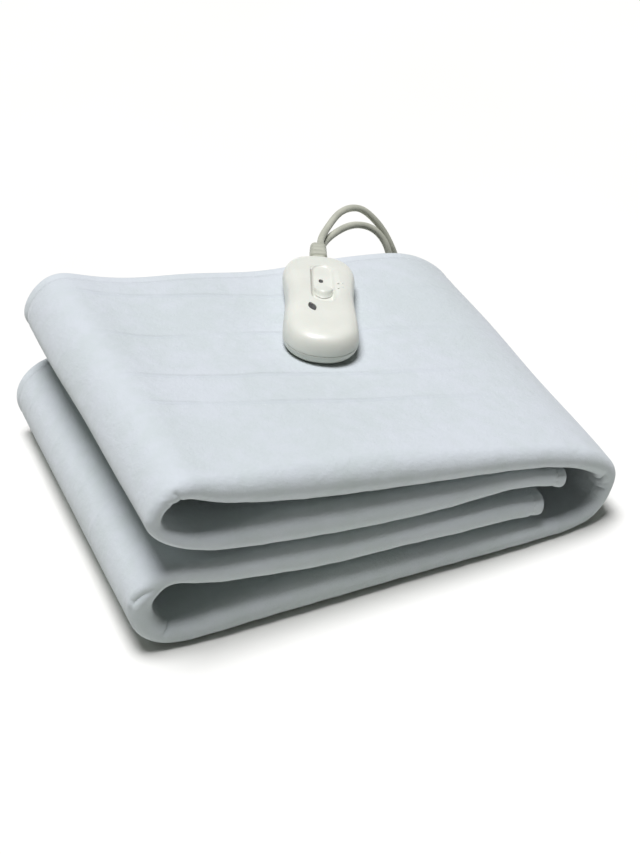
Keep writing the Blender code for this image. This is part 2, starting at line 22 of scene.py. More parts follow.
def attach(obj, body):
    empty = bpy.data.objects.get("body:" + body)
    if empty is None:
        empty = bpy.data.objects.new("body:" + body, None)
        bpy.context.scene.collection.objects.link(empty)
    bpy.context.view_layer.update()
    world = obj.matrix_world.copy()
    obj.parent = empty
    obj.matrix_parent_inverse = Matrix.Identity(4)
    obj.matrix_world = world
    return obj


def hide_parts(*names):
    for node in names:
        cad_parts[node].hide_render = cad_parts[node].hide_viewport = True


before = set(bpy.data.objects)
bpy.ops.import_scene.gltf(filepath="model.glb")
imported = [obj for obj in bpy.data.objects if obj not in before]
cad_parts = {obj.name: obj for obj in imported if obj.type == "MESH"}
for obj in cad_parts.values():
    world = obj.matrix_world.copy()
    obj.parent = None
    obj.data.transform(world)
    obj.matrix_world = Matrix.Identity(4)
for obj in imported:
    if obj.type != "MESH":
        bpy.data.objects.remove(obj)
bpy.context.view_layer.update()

bl_info = {
    "name": "Electric heated blanket",
    "version": (1, 0, 0),
    "blender": (4, 5, 0),
    "location": "3D View > Sidebar > Blanket",
    "description": "Makes the finished pieces of a folded electric heated blanket",
    "category": "Object",
}

MM = 0.001
GAP = 0.0003
FIRST_SLICE = 0.4                            # mm, the cube that a drawn bar starts from
CENTRING = np.array((0.0020, 0.0020, 0.0))   # from the drawing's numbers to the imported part

# ---------------------------------------------------------------- cloth sizes
BACK_OPENING = 0.75          # how far the plies stand apart at the back, to the roll
FRONT_Y = -0.1500
ROLL_COLUMNS = 26            # facets round the front roll
RUN_STEP = 0.0070            # spacing across a ply
FLAT_STEP = 0.0080           # spacing of cross sections on a straight run
BEND_EXTRA = 0.042           # more sections in bends: this times the curvature
CREASED_EXTRA = 4.5          # and this many times more where the roll is pinched
SLACK_FADE = 0.03            # over this distance slack and ripples die away
STILL_BELOW = 0.030          # the lowest felt, up to this height, lies still
PRESSED_FLAT = (0.026, 0.078)   # half width and half length of the patch under the controller
HEM = 0.0085                 # the stitched line's distance from the sheet's edge
EDGE_PLACES = (0, 0.0003, 0.0008, 0.0017, 0.0040, 0.0062, 0.0085, 0.0108, 0.0145)
STITCHES_PER_METRE = 290
ELEMENT_RUNS = (0.0900, 0.1285, 0.1925, 0.2550)   # distances from the fold's line
ELEMENT_WIDTH, ELEMENT_BOW, ELEMENT_WANDER = 0.0042, 0.018, 0.012

# The fold's stations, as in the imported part: x and z of the doubled layer's
# middle at the front roll and at the back edge, half the distance between its
# plies, and how far the roll stands back.  A z of None lies on the surface.
Station = namedtuple("Station", "place x z_front z_back roll recess")
FOLD = [
    Station("B free end", 145, 54.0, 58, 5.8, 2),
    Station("B", 113, 64.0, 66, 5.8, 2),
    Station("B", 62, 67.6, 67, 8.8, 1),
    Station("B", 13, 71.0, 69, 11.2, 0),
    Station("B", -52, 77.6, 74, 12.2, 0),
    Station("B", -92, 82.6, 79, 11.4, 0),
    Station("B", -128, 87.6, 84, 8.0, 0),
    Station("upper loop, bottom", -158, 97.0, 92, 4.6, 0),
    Station("upper loop, side", -179, 119.5, 112, 4.0, 1),
    Station("upper loop, top", -160, 140.8, 136, 6.2, 0),
    Station("A", -139, 135.4, 131, 8.4, 0),
    Station("A", -95, 122.6, 115, 12.6, 0),
    Station("A", -52, 113.6, 107, 14.2, 0),
    Station("A", 12, 102.0, 94, 13.2, 0),
    Station("A", 77, 91.0, 90.5, 10.0, 0),
    Station("A", 113, 83.2, 87, 8.4, 1),
    Station("A", 146, 73.6, 80, 7.8, 2),
    Station("A", 170, 61.6, 66, 7.0, 3),
    Station("right fold", 188, 37.0, 38, 6.6, 8),
    Station("right fold, bottom", 172, 12.5, 13, 6.6, 5),
    Station("D", 151, None, None, 6.6, 3),
    Station("D", 110, None, None, 8.6, 1),
    Station("D", 30, None, None, 10.8, 1),
    Station("D", -55, None, None, 13.0, 0),
    Station("D", -110, None, None, 12.8, 0),
    Station("D", -152, None, None, 10.4, 1),
    Station("lower loop, bottom", -180, 15.5, 13, 8.0, 4),
    Station("lower loop, side", -190.5, 37.0, 34, 7.6, 5),
    Station("lower loop, shoulder", -183, 57.0, 52, 6.6, 4),
    Station("lower loop, top", -167, 65.8, 60, 5.8, 2),
    Station("C", -149, 62.6, 57, 7.4, 1),
    Station("C", -107, 55.3, 51, 9.9, 0),
    Station("C", -52, 48.0, 45, 11.2, 0),
    Station("C", 13, 44.6, 42, 10.2, 0),
    Station("C", 60, 41.0, 40, 9.4, 0),
    Station("C", 95, 38.6, 38, 8.6, 1),
    Station("C free end", 128, 33.6, 36, 7.6, 2),
]

# Pinches of the roll at the folds: from and to (distance past the roll's line, place along the
# sheet), half width and depth.  The second list has the places where the sections lie closer.
PINCHES = [
    ((0.0075, 1.1625), (0.0012, 1.1760), 0.0017, 0.0014),
    ((0.0080, 1.1560), (0.0040, 1.1660), 0.0014, 0.0006),
    ((-0.0020, 1.1245), (-0.0120, 1.1200), 0.0017, 0.0010),
    ((0.0002, 0.3590), (-0.0050, 0.3620), 0.0014, 0.0007),
    ((0.0020, 0.3680), (-0.0060, 0.3705), 0.0016, 0.0011),
    ((-0.0075, 0.7385), (-0.0160, 0.7420), 0.0017, 0.0013),
    ((-0.0075, 0.7385), (-0.0002, 0.7290), 0.0016, 0.0010),
    ((-0.0040, 0.7500), (-0.0130, 0.7515), 0.0017, 0.0009),
    ((0.0020, 0.8024), (-0.0060, 0.8030), 0.0013, 0.0006),
]
CREASED = [(0.364, 0.010), (0.741, 0.013), (0.8024, 0.005), (1.121, 0.008), (1.167, 0.012)]

# --------------------------------------------------------- controller sizes
# Its own frame: y from the tail end to the nose, x to the right, z up.
CONTROL_PLACE = Matrix((
    (0.91639, 0.37708, 0.13434, 0.00321),
    (-0.38521, 0.92197, 0.03980, -0.01494),
    (-0.10885, -0.08823, 0.99014, 0.11533),
    (0, 0, 0, 1)))
CONTROL_LENGTH, CONTROL_WIDTH = 0.152, 0.059
TAIL_REACH, TAIL_FULLNESS = 0.032, 0.5325     # a rounded end's length, and its bevel profile
NOSE_REACH, NOSE_FULLNESS = 0.034, 0.598
WAIST, WAIST_Y, WAIST_REACH = 0.075, 0.084, 0.046
NOSE_DROP = 0.26
# The housing's levels, in mm: how far each is drawn in from the widest outline, and its height.
BASE_LEVELS = [(7.0, 0), (4.6, 0.35), (3.0, 1.2), (1.9, 2.3), (1.0, 3.6), (0.45, 5.0), (0.15, 6.4),
               (0, 7.7), (0.22, 8.05)]
COVER_LEVELS = [(0.22, 8.25), (0, 8.6), (0.06, 10.0), (0.3, 12.0), (0.68, 14.3), (1.3, 16.6),
                (2.05, 18.5), (3.0, 20.2), (4.2, 21.55), (5.6, 22.6), (7.4, 23.45), (9.5, 24.1),
                (12, 24.5), (15, 24.8), (18, 25.0), (21, 25.1), (24, 25.18), (27, 25.22)]
SCOOP_CENTRE = (0.0008, 0.0935)
SCOOP_HALF_WIDTH, SCOOP_HALF_LENGTH, SCOOP_FLOOR, SCOOP_LEAN = 0.0091, 0.0330, 0.0204, 0.0017
SLOT_HALF_WIDTH, SLOT_START, SLOT_END, SLOT_DEPTH = 0.0018, 0.0755, 0.0895, 0.0026
WINDOW_CENTRE, WINDOW_HALF, WINDOW_DEPTH = (0.0002, 0.1004), (0.0018, 0.0030), 0.0018
KNOB_X, KNOB_TAIL, KNOB_LENGTH, KNOB_HALF_WIDTH, KNOB_TOP = 0.0016, 0.0710, 0.0122, 0.0076, 0.0256
KNOB_WIDEST, KNOB_TOE, KNOB_FACE, KNOB_CLEARANCE = 0.0100, 0.0009, 0.0044, 0.00042
KNOB_RINGS = (0.985, 0.965, 0.94, 0.91, 0.87, 0.82, 0.76, 0.69, 0.61, 0.52, 0.42, 0.30, 0.16)
LENS_CENTRE, LENS_TURN = (-0.0080, 0.0486), math.radians(16)
LENS_HALF_LENGTH, LENS_HALF_WIDTH = 0.0066, 0.0027
LENS_SEAT, LENS_TOP = 0.0210, 0.0252
LENS_ENDS = ((0.20, 0.97), (0.40, 0.94), (0.58, 0.90), (0.72, 0.86), (0.84, 0.80), (0.94, 0.70))
MARKS = ((0.0134, 0.0832, 0.0007), (0.0134, 0.0925, 0.0008),      # x, y and radius
         (0.0167, 0.0870, 0.0009), (0.0167, 0.0945, 0.0010))
SLEEVE_HEIGHT, SLEEVE_LENGTH = 0.0125, 0.0205
SLEEVE_SOCKET = (0.0126, 0.0172, 0.0094)
# Sections along a bar, in mm: place, half width and half height.
SLEEVE = [(-5.2, 6.0, 4.4), (0.7, 6.0, 4.4), (1.4, 6.9, 5.9), (1.9, 7.2, 6.2), (7.2, 7.1, 6.2),
          (7.6, 6.8, 5.9), (8.4, 6.8, 5.9), (8.8, 7.1, 6.2), (13.2, 6.9, 6.2), (13.6, 6.6, 5.9),
          (14.4, 6.6, 5.9), (14.8, 6.9, 6.2), (19.6, 6.7, 6.1), (20.2, 6.4, 5.9), (20.5, 5.9, 5.5)]

# --------------------------------------------------------------- cord routes
LEAD_EXIT, MAINS_EXIT = (0.0034, -0.0031), (0.0020, 0.0031)
LEAD_ROUTE = [
    (0.0950, 0.1690, 0.1065), (0.1095, 0.1775, 0.1045), (0.1240, 0.1830, 0.1000),
    (0.1370, 0.1825, 0.0930), (0.1450, 0.1770, 0.0825), (0.1475, 0.1700, 0.0680),
    (0.1455, 0.1655, 0.0520), (0.1405, 0.1660, 0.0340), (0.1330, 0.1735, 0.0170),
    (0.1220, 0.1870, 0.0065), (0.1090, 0.2020, 0.0033), (0.0920, 0.2125, 0.0033),
    (0.0750, 0.2100, 0.0033), (0.0630, 0.1970, 0.0038), (0.0570, 0.1800, 0.0058),
    (0.0560, 0.1653, 0.0079), (0.0560, 0.1573, 0.0079)]
MAINS_ROUTE = [
    (0.0900, 0.1710, 0.1135), (0.1045, 0.1830, 0.1155), (0.1180, 0.1900, 0.1140),
    (0.1300, 0.1925, 0.1090), (0.1395, 0.1905, 0.1000), (0.1475, 0.1855, 0.0880),
    (0.1535, 0.1795, 0.0730), (0.1575, 0.1755, 0.0560), (0.1585, 0.1770, 0.0380),
    (0.1565, 0.1855, 0.0210), (0.1500, 0.2000, 0.0095), (0.1385, 0.2190, 0.0045),
    (0.1210, 0.2370, 0.0033), (0.0980, 0.2490, 0.0033), (0.0700, 0.2535, 0.0033),
    (0.0450, 0.2530, 0.0033), (0.0200, 0.2524, 0.0033)]
TAIL_ROUTE = [
    (-0.0430, 0.2262, 0.0085), (-0.0550, 0.2105, 0.0074), (-0.0660, 0.1952, 0.0071),
    (-0.0785, 0.1835, 0.0071), (-0.0937, 0.1780, 0.0071), (-0.1017, 0.1780, 0.0071)]
COIL_CENTRE = (0.0020, 0.2070)
COIL_STEP = 10                                # degrees between the points of a turn
CORD_STEP = 0.0040                            # between a cord's points

PLUG_FACE_X, PLUG_Y, PLUG_MIDDLE = -0.1620, 0.1780, 0.0071
PLUG = [(0, 15.0, 6.0), (0.8, 16.0, 6.6), (2, 16.2, 6.8), (9, 15.8, 6.8), (16, 15.0, 6.8), (20, 14.2, 6.7),
        (25, 12.9, 6.6), (30, 11.4, 6.4), (34, 9.2, 6.1), (38, 7.0, 5.6), (40.5, 5.8, 5.2), (41, 5.5, 5.0),
        (44, 5.2, 4.9), (44.4, 4.4, 4.2), (46.2, 4.4, 4.2), (46.6, 5.0, 4.7), (49.4, 4.8, 4.5),
        (49.8, 4.0, 3.9), (51.6, 3.9, 3.8), (52, 4.5, 4.3), (54.8, 4.3, 4.1), (55.2, 3.7, 3.6),
        (57, 3.7, 3.6), (57.4, 4.1, 4.0), (59.4, 3.9, 3.9), (60, 3.4, 3.4)]
PIN_RADIUS, PIN_SPACING = 0.0020, 0.0186
PIN_STEPS = ((0.0092, 1), (0.0002, 0.90), (0.0080, 1), (0.0008, 0.8667), (0.0004, 0.7051))

# --------------------------------------------------------------------- stage
FLOOR_SIZE = 60
LIGHT_WAY, LIGHT_COLOUR = (0.09, -0.04, -1.0), (0.96, 0.94, 1.0)
SURROUND_COLOUR = (1.0, 1.0, 0.97, 1)
CAMERA_PLACE = (-0.4803, -1.1321, 0.9750)
CAMERA_FORWARD, CAMERA_RIGHT = (0.317, 0.733, -0.6018), (0.918, -0.397, 0)
FOCAL_PIXELS, PHOTO_HEIGHT, SENSOR = 1961, 854, 36.0


# ------------------------------------------------------------------ materials
class Socket:
    """One output of a node in a material; arithmetic on it adds Math nodes."""

    def __init__(self, tree, output=None):
        self.tree = tree
        self.output = output

    def node(self, kind, settings=None, inputs=None, output=0):
        """Add a node: first its settings, then a value or link for each input, by name or number."""
        made = self.tree.nodes.new(kind)
        for name, value in (settings or {}).items():
            setattr(made, name, value)
        for name, value in (inputs or {}).items():
            if isinstance(value, Socket):
                self.tree.links.new(value.output, made.inputs[name])
            else:
                made.inputs[name].default_value = value
        return Socket(self.tree, made.outputs[output])

    def math(self, operation, *values):
        return self.node("ShaderNodeMath", {"operation": operation}, dict(enumerate(values)))

    def __add__(self, other):
        return self.math("ADD", self, other)

    def __radd__(self, other):
        return self.math("ADD", other, self)

    def __sub__(self, other):
        return self.math("SUBTRACT", self, other)

    def __rsub__(self, other):
        return self.math("SUBTRACT", other, self)

    def __mul__(self, other):
        return self.math("MULTIPLY", self, other)

    def __rmul__(self, other):
        return self.math("MULTIPLY", other, self)

    def __abs__(self):
        return self.math("ABSOLUTE", self)

    def noise(self, scale, detail=2.0, roughness=0.5, distortion=0.0):
        """Noise read at this vector, as a number from 0 to 1."""
        return self.node("ShaderNodeTexNoise", {"noise_dimensions": "3D"}, {
            "Vector": self, "Scale": scale, "Detail": detail, "Roughness": roughness,
            "Distortion": distortion})

    def fade(self, start, end, low=0.0, high=1.0):
        """This number carried smoothly from low at start to high at end."""
        return self.node("ShaderNodeMapRange", {"interpolation_type": "SMOOTHSTEP"}, {
            "Value": self, "From Min": start, "From Max": end, "To Min": low, "To Max": high})

    def blend(self, first, second):
        """Two colours mixed by this number."""
        first, second = ((*colour, 1) if isinstance(colour, (tuple, Color)) else colour
                         for colour in (first, second))
        return self.node("ShaderNodeMix", {"data_type": "RGBA"}, {0: self, 6: first, 7: second}, 2)

    def feed(self, shader, socket):
        """Link this output to one of the shader's sockets."""
        self.tree.links.new(self.output, shader.inputs[socket])

    def raise_surface(self, shader, distance, strength=1.0):
        """Feed this height through a Bump node to the shader's normal."""
        self.node("ShaderNodeBump", inputs={"Height": self, "Distance": distance,
                                            "Strength": strength}).feed(shader, "Normal")


def new_finish(name, **plain):
    """A new material, its shader with plain numbers set, and the place on the object."""
    made = bpy.data.materials.new(name)
    made.use_nodes = True
    shader = made.node_tree.nodes["Principled BSDF"]
    for socket, value in plain.items():
        shader.inputs[socket.replace("_", " ")].default_value = value
    return made, shader, Socket(made.node_tree).node("ShaderNodeTexCoord", output=3)


def felt_finish(cloth):
    """Soft pressed felt: fibres and clumps, faint ridges of the element inside with painted shade along
    them, and a stitched hem.
    """
    made, shader, place = new_finish("felt", Roughness=0.95, Sheen_Weight=0.22, Sheen_Roughness=0.55,
                                     Specular_IOR_Level=0.18)
    flat = place.node("ShaderNodeTexCoord", output=2)
    across, along = (flat.node("ShaderNodeSeparateXYZ", inputs={0: flat}, output=way) for way in (0, 1))

    fibres = place.noise(1150, 5, 0.65, 0.6)
    pile = place.noise(260, 4, 0.6)
    clumps = place.noise(75, 3, 0.55)
    patches = place.noise(9, 3, 0.5)

    # The element's runs lie along the sheet, bow to and fro a little, and raise faint ridges in its top
    # layer; painted shade darkens the ridges.
    bow = ELEMENT_BOW * place.math("COSINE", (along - 0.30) * math.tau)
    wander = abs(across - cloth.width / 2) - bow + (flat.noise(9, 2) - 0.5) * ELEMENT_WANDER
    ridge_and_painted_shade = abs(wander - ELEMENT_RUNS[0])
    for run in ELEMENT_RUNS[1:]:
        ridge_and_painted_shade = place.math("MINIMUM", ridge_and_painted_shade, abs(wander - run))
    ridge_and_painted_shade = ridge_and_painted_shade.fade(0.0, ELEMENT_WIDTH, 1.0, 0.0) * along.fade(0.365, 0.395)
    ridge_and_painted_shade = ridge_and_painted_shade * along.fade(0.50, 0.72, 1.0, 0.25) * flat.noise(8, 2).fade(0.34, 0.56)

    # The hem: a pressed band outside a line of stitches, all round the sheet.
    side = place.math("MINIMUM", across, cloth.width - across)
    end = place.math("MINIMUM", along, cloth.length - along)
    from_edge = place.math("MINIMUM", side, end)
    hem = from_edge.fade(HEM - 0.0006, HEM + 0.0010, 1.0, 0.0)
    stitch_line = abs(from_edge - HEM).fade(0.0003, 0.0009, 1.0, 0.0)
    on_side = place.math("GREATER_THAN", end - side, 0.0)
    run_of_hem = on_side * along + (1 - on_side) * across
    beat = place.math("FRACT", run_of_hem * STITCHES_PER_METRE)
    stitches = stitch_line * abs(beat - 0.5).fade(0.22, 0.34, 1.0, 0.0) * (1 - 0.8 * on_side)

    tone = 0.45 * patches + 0.35 * clumps + 0.2 * fibres
    colour = tone.fade(0.38, 0.62).blend(cloth.shade, cloth.colour)
    # Painted shade: the element's ridges are darkened towards blue-grey.
    colour = (ridge_and_painted_shade * 0.13).blend(colour, (0.40, 0.45, 0.49))
    colour = (hem * 0.10).blend(colour, (0.70, 0.74, 0.74))
    colour = (stitches * 0.20).blend(colour, (0.74, 0.76, 0.76))
    colour.feed(shader, "Base Color")
    height = 0.30 * fibres + 0.45 * pile + 0.85 * clumps + 0.9 * ridge_and_painted_shade + 0.4 * stitches - 0.4 * stitch_line
    height.raise_surface(shader, 0.0013, cloth.nap)
    return made


def shell_finish(control):
    """Satin off-white moulding, with a fine spark texture."""
    made, shader, place = new_finish("housing plastic", Coat_Weight=0.12, Coat_Roughness=0.3,
                                     Subsurface_Weight=0.04)
    place.noise(38, 3).fade(0.35, 0.65).blend(control.shade, control.colour).feed(shader, "Base Color")
    place.noise(160, 4, 0.6).fade(0.3, 0.7, 0.30, 0.42).feed(shader, "Roughness")
    place.noise(5200, 2).raise_surface(shader, 0.00003, 0.6)
    return made


def dark_finish(control):
    """Smooth dark plastic of the small windows."""
    made, shader, place = new_finish("dark window", Coat_Weight=0.4)
    place.noise(420, 2).fade(0.3, 0.7).blend(control.lens, control.lens * 1.8).feed(shader, "Base Color")
    place.noise(900, 3).fade(0.3, 0.7, 0.144, 0.225).feed(shader, "Roughness")
    return made


def sheath_finish(cords):
    """Matte flexible sheath, slightly clouded, with the fine skin of extruded plastic."""
    made, shader, place = new_finish("cord sheath", Sheen_Weight=0.04)
    skin = place.noise(1400, 3, 0.6)
    place.noise(55, 3).fade(0.35, 0.65).blend(cords.shade, cords.colour).feed(shader, "Base Color")
    skin.fade(0.3, 0.7, 0.42, 0.56).feed(shader, "Roughness")
    skin.raise_surface(shader, 0.00008, 0.5)
    return made


def strap_finish():
    """Woven tie strap: a ribbed weave across its width."""
    made, shader, place = new_finish("tie strap", Roughness=0.7, Sheen_Weight=0.1)
    weave = place.node("ShaderNodeTexWave", {"wave_type": "BANDS", "bands_direction": "DIAGONAL"}, {
        "Vector": place, "Scale": 300.0, "Distortion": 1.5, "Detail": 2.0}, 1)
    weave.blend((0.46, 0.46, 0.43), (0.62, 0.62, 0.59)).feed(shader, "Base Color")
    weave.raise_surface(shader, 0.00025, 0.8)
    return made


def pin_finish():
    """Nickel-plated brass, lightly scuffed along the pins."""
    made, shader, place = new_finish("plated pins", Metallic=1.0)
    scuffs = place.node("ShaderNodeMapping", inputs={"Vector": place, "Scale": (90, 1800, 1800)})
    worn = scuffs.noise(1.0, 4, 0.6)
    worn.fade(0.4, 0.7).blend((0.74, 0.72, 0.66), (0.83, 0.80, 0.72)).feed(shader, "Base Color")
    worn.fade(0.3, 0.7, 0.18, 0.38).feed(shader, "Roughness")
    return made


# ------------------------------------------------------------ bench and tools
def select_only(*pieces):
    """Select these pieces and nothing else, the first as the active one."""
    bpy.ops.object.select_all(action="DESELECT")
    for piece in pieces:
        piece.select_set(True)
    bpy.context.view_layer.objects.active = pieces[0]


@contextmanager
def editing(piece):
    """Edit mode on one piece alone, with nothing selected in it."""
    select_only(piece)
    bpy.ops.object.mode_set(mode="EDIT")
    bpy.ops.mesh.select_all(action="DESELECT")
    yield
    bpy.ops.object.mode_set(mode="OBJECT")


def select(piece, kind, test):
    """Select, in edit mode, the VERTs, EDGEs or FACEs that a test picks by their middle."""
    bpy.ops.mesh.select_mode(type=kind)
    bpy.ops.mesh.select_all(action="DESELECT")
    shape = bmesh.from_edit_mesh(piece.data)
    found = {"VERT": shape.verts, "EDGE": shape.edges, "FACE": shape.faces}[kind]
    for element in found:
        if kind == "VERT":
            middle = element.co
        elif kind == "EDGE":
            middle = (element.verts[0].co + element.verts[1].co) / 2
        else:
            middle = element.calc_center_median()
        element.select_set(bool(test(element, middle)))
    shape.select_flush_mode()
    bmesh.update_edit_mesh(piece.data)


def draw_out(move, scale, centre):
    """Extrude the selected face, then scale its far end about a point."""
    bpy.ops.mesh.extrude_region_move(TRANSFORM_OT_translate={"value": move})
    bpy.ops.transform.resize(value=scale, center_override=centre)


def start_piece(name, primitive, extent, location, **options):
    """Add a primitive at its size and place, with that place in its mesh."""
    bpy.ops.object.select_all(action="DESELECT")
    primitive(location=location, **options)
    piece = bpy.context.active_object
    piece.name = piece.data.name = name
    piece.scale = extent
    bpy.ops.object.transform_apply(location=True, rotation=True, scale=True)
    return piece


def disc(name, half_width, half_length, centre, height, count):
    """Start a piece as a filled ellipse, lying level."""
    return start_piece(name, bpy.ops.mesh.primitive_circle_add, (half_width, half_length, 1),
                       (*centre, height), vertices=count, radius=1, fill_type="NGON")


def dome(piece, centre, steps):
    """Draw the only face out through steps: each one's rise, and its size next to the step before."""
    with editing(piece):
        select(piece, "FACE", lambda f, at: True)
        for rise, scale in steps:
            draw_out((0, 0, rise), (scale, scale, 1), (*centre, 0))


def drawn_bar(name, way, start, sections, corner, cuts):
    """A round-cornered bar, drawn out from a thin slice along x (way 0) or y (way 1)."""
    place, half_width, half_height = sections[0]
    extent = [2 * half_width * MM, 2 * half_width * MM, 2 * half_height * MM]
    extent[way] = FIRST_SLICE * MM
    middle = list(start)
    middle[way] += (place + FIRST_SLICE / 2) * MM
    piece = start_piece(name, bpy.ops.mesh.primitive_cube_add, extent, middle, size=1)
    with editing(piece):
        select(piece, "EDGE", lambda e, at: e.verts[0].co[way] != e.verts[1].co[way])
        bpy.ops.mesh.bevel(offset=corner, segments=cuts, affect="EDGES")
        select(piece, "FACE", lambda f, at: f.normal[way] > 0.9)
        place += FIRST_SLICE
        for next_place, next_width, next_height in sections[1:]:
            wider = next_width / half_width
            move, scale = [0, 0, 0], [wider, wider, next_height / half_height]
            move[way], scale[way] = (next_place - place) * MM, 1
            draw_out(move, scale, start)
            place, half_width, half_height = next_place, next_width, next_height
    return piece


def apply_step(piece, kind, **settings):
    """Add a modifier and apply it."""
    select_only(piece)
    step = piece.modifiers.new(kind.lower(), kind)
    for name, value in settings.items():
        setattr(step, name, value)
    bpy.ops.object.modifier_apply(modifier=step.name)


def smooth(piece, degrees):
    select_only(piece)
    bpy.ops.object.shade_smooth_by_angle(angle=math.radians(degrees))


def close_up(piece, threshold=0.00002):
    """Merge doubles and turn the faces outwards."""
    with editing(piece):
        bpy.ops.mesh.select_all(action="SELECT")
        bpy.ops.mesh.remove_doubles(threshold=threshold)
        bpy.ops.mesh.normals_make_consistent(inside=False)


def settle(piece, finish, body, slot, *nodes):
    """Give a piece its finish and its body, and hide the CAD nodes that it stands for; the slot argument is
    not used.
    """
    piece.data.materials.clear()
    piece.data.materials.append(finish)
    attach(piece, body)
    if nodes:
        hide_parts(*nodes)
    return piece


def dress_node(name, finish, edge=0.0):
    """Give a CAD node that stays its finish and, where it is asked, softly broken edges."""
    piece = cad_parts[name]
    piece.data.materials.clear()
    piece.data.materials.append(finish)
    if edge:
        weld = piece.modifiers.new("weld", "WELD")
        weld.merge_threshold = 0.00001
        bevel = piece.modifiers.new("edges", "BEVEL")
        bevel.width, bevel.segments, bevel.limit_method = edge, 2, "ANGLE"
        bevel.angle_limit = math.radians(40)
    return piece


def tool_solid(name, rings):
    """A guide solid for a Boolean cut, through rings of equal count; it is removed after the cut."""
    count = len(rings[0])
    points = [tuple(p) for ring in rings for p in ring]
    faces = [(level * count + i, level * count + (i + 1) % count,
              (level + 1) * count + (i + 1) % count, (level + 1) * count + i)
             for level in range(len(rings) - 1) for i in range(count)]
    faces += [tuple(reversed(range(count))), tuple(range(len(points) - count, len(points)))]
    mesh = bpy.data.meshes.new(name)
    mesh.from_pydata(points, [], faces)
    tool = bpy.data.objects.new(name, mesh)
    bpy.context.scene.collection.objects.link(tool)
    return tool


def cut(piece, tool):
    apply_step(piece, "BOOLEAN", object=tool, operation="DIFFERENCE", solver="EXACT")
    bpy.data.objects.remove(tool, do_unlink=True)


def smooth_step(value):
    value = np.clip(value, 0.0, 1.0)
    return value * value * (3.0 - 2.0 * value)


def natural_spline(knots, values, at):
    """Read a natural cubic spline through values (one column each) at the given places."""
    gaps = np.diff(knots)
    count = len(knots)
    system = np.eye(count)
    right = np.zeros_like(values)
    slopes = np.diff(values, axis=0) / gaps[:, None]
    for i in range(1, count - 1):
        system[i, i - 1:i + 2] = gaps[i - 1], 2 * (gaps[i - 1] + gaps[i]), gaps[i]
        right[i] = 6 * (slopes[i] - slopes[i - 1])
    bend = np.linalg.solve(system, right)
    i = np.clip(np.searchsorted(knots, at) - 1, 0, count - 2)
    gap = gaps[i][:, None]
    before = (at - knots[i])[:, None]
    after = gap - before
    return ((bend[i] * after ** 3 + bend[i + 1] * before ** 3) / (6 * gap)
            + (values[i] / gap - bend[i] * gap / 6) * after
            + (values[i + 1] / gap - bend[i + 1] * gap / 6) * before)


# ---------------------------------------------------------------------- cloth
def fold_rows(cloth):
    """The fold's cross sections, as x, z_front, z_back, roll and recess, and each one's place along."""
    rows = []
    for row in FOLD:
        on_surface = row.z_front is None
        z_front = row.roll + cloth.ply / MM / 2 if on_surface else row.z_front
        z_back = row.roll * BACK_OPENING + cloth.ply / MM / 2 if on_surface else row.z_back
        rows.append((row.x, z_front, z_back, row.roll, row.recess))
    rows = np.array(rows) * MM
    knots = np.r_[0, np.cumsum(np.hypot(*np.diff(rows[:, :2], axis=0).T))]
    fine = np.linspace(0, knots[-1], 4000)
    path = natural_spline(knots, rows, fine)
    step = np.diff(path[:, :2], axis=0)
    length = np.hypot(*step.T)
    turn = np.abs(np.diff(np.unwrap(np.arctan2(step[:, 1], step[:, 0]))))
    so_far = np.cumsum(length) * cloth.length / length.sum()
    closer = 1 + sum(CREASED_EXTRA * np.exp(-((so_far - place) / reach) ** 2) for place, reach in CREASED)
    effort = np.r_[0, np.cumsum(closer * length / FLAT_STEP + np.r_[0, turn] * BEND_EXTRA / FLAT_STEP)]
    places = np.interp(np.linspace(0, effort[-1], round(effort[-1])), effort, fine)
    ends = np.array(EDGE_PLACES)
    inner = places[(places > ends[-1] * 1.2) & (places < knots[-1] - ends[-1] * 1.2)]
    places = np.r_[ends, inner, knots[-1] - ends[::-1]]
    sections = natural_spline(knots, rows, places)
    lying = [knot for knot, row in zip(knots, FOLD) if row.z_front is None]
    flat = (places >= lying[0]) & (places <= lying[-1])
    sections[flat, 1] = sections[flat, 3] + cloth.ply / 2
    sections[flat, 2] = sections[flat, 3] * BACK_OPENING + cloth.ply / 2
    along = np.interp(places, fine, np.r_[0, np.cumsum(length)])
    return sections, along * cloth.length / along[-1]


def hairpin_columns(depth):
    """Places across the sheet: (roll angle, None) on the roll, (side, share of the run) past it."""
    edge = 1 - np.array(EDGE_PLACES) / (depth * 0.95)
    count = round(depth * edge[-1] / RUN_STEP)
    run = list(np.linspace(0, edge[-1], count + 1)[1:-1]) + list(edge[::-1])
    under = [(-1, share) for share in reversed(run)]
    over = [(1, share) for share in run]
    roll = [(math.pi * (i / ROLL_COLUMNS - 0.5), None) for i in range(ROLL_COLUMNS + 1)]
    return under + roll + over


